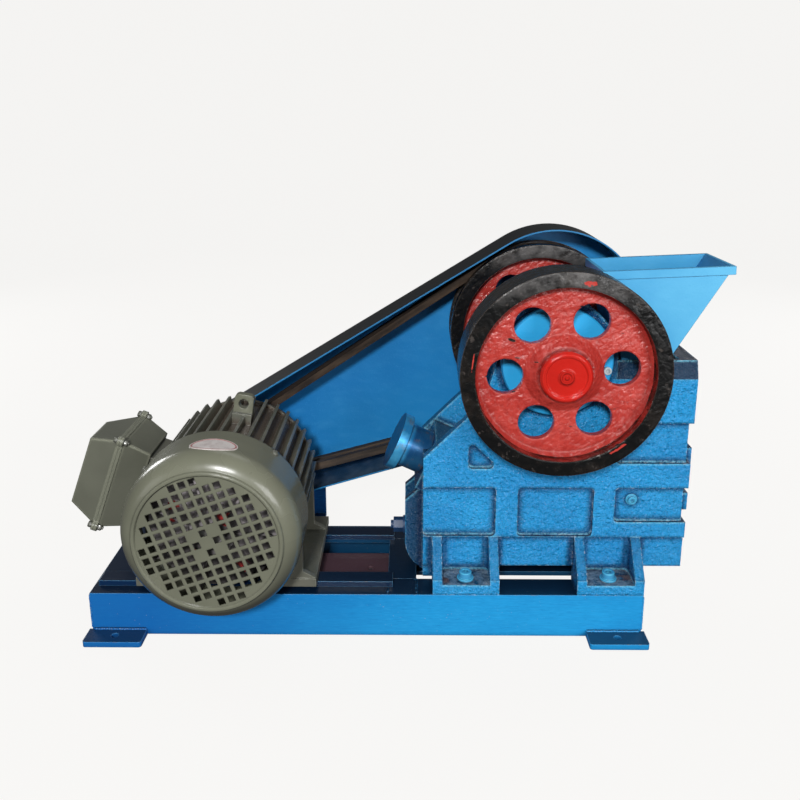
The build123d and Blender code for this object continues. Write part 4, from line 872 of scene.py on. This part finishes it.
def paleStage():
    # a pale round bowl about the floor, which glows so that it stays even behind the object
    paper = Finish("pale_paper", Roughness=0.9, Specular_IOR_Level=0.1)
    grain = paper.noise(3.0, 2.0)
    tone = paper.mix(grain.between(0.3, 0.7), studio["floor"], tuple(0.998 * c for c in studio["floor"]))
    paper.feed("Base Color", paper.mix(1.0 - studio["catch"], tone, (0.0, 0.0, 0.0)))
    paper.feed("Emission Color", tone)
    paper.shader.inputs["Emission Strength"].default_value = studio["glow"]
    outline = [(0.0, 0.0)]
    for n in range(studio["steps"] + 1):
        angle = math.pi / 2 * n / studio["steps"]
        outline.append((studio["reach"] + studio["round"] * math.sin(angle), studio["round"] * (1 - math.cos(angle))))
    outline.append((studio["reach"] + studio["round"], studio["height"]))
    bm = bmesh.new()
    turn(bm, outline, Matrix.Identity(4), studio["sides"])
    mesh = bpy.data.meshes.new("pale_floor")
    bm.to_mesh(mesh)
    bm.free()
    for polygon in mesh.polygons:
        polygon.use_smooth = True
    mesh.materials.append(paper.material)
    floor = bpy.data.objects.new("pale_floor", mesh)
    bpy.context.scene.collection.objects.link(floor)
    floor.visible_diffuse = False  # its glow is only for the picture
    floor.visible_glossy = False


def softLight(name, place, target, width, height, power):
    data = bpy.data.lights.new(name, "AREA")
    data.shape = "RECTANGLE"
    data.size = width
    data.size_y = height
    data.energy = power
    lamp = bpy.data.objects.new(name, data)
    lamp.location = place
    lamp.rotation_euler = (Vector(target) - Vector(place)).to_track_quat("-Z", "Y").to_euler()
    bpy.context.scene.collection.objects.link(lamp)


# where each light stands and looks, its width and height in metres, and its watts
lights = {
    "key_light": ((-0.17, -2.20, 1.42), (0.08, 0.0, 0.28), 0.26, 0.26, 52.0),
    "fill_light": ((1.25, -2.0, 0.70), (0.05, 0.0, 0.25), 0.9, 0.9, 20.0),
    "left_light": ((-1.6, -1.2, 0.50), (-0.1, 0.0, 0.25), 0.7, 0.7, 2.0),
    "top_light": ((0.3, 1.2, 2.6), (0.0, 0.0, 0.3), 1.6, 1.0, 6.0),
    "back_light_right": ((2.1, 1.6, 0.9), (0.0, 0.1, 0.25), 0.8, 0.8, 20.0),
    "back_light_left": ((-2.1, 1.6, 0.9), (0.0, 0.1, 0.25), 0.8, 0.8, 20.0),
}

paleStage()
for name, settings in lights.items():
    softLight(name, *settings)

world = bpy.data.worlds.new("soft_room")
world.use_nodes = True
world.node_tree.nodes["Background"].inputs[0].default_value = (*studio["room"], 1.0)
world.node_tree.nodes["Background"].inputs[1].default_value = studio["roomGlow"]
bpy.context.scene.world = world
bpy.context.scene.view_settings.view_transform = "Standard"

# the camera stands where the photo was taken from
view = {"place": (0.0589, -1.0693, 0.6904), "right": (0.9999, 0.0107, -0.0019), "up": (-0.0007, 0.2394, 0.9709),
        "lens": 36.0, "sensor": 36.0, "shift": -0.1}
cameraData = bpy.data.cameras.new("photo_camera")
cameraData.lens = view["lens"]
cameraData.sensor_width = view["sensor"]
cameraData.shift_y = view["shift"]
camera = bpy.data.objects.new("photo_camera", cameraData)
right = Vector(view["right"]).normalized()
up = Vector(view["up"])
up = (up - right * up.dot(right)).normalized()
axes = Matrix((right, up, right.cross(up))).transposed().to_4x4()
camera.matrix_world = Matrix.Translation(view["place"]) @ axes
bpy.context.scene.collection.objects.link(camera)
bpy.context.scene.camera = camera
print("stage, lights and camera set")
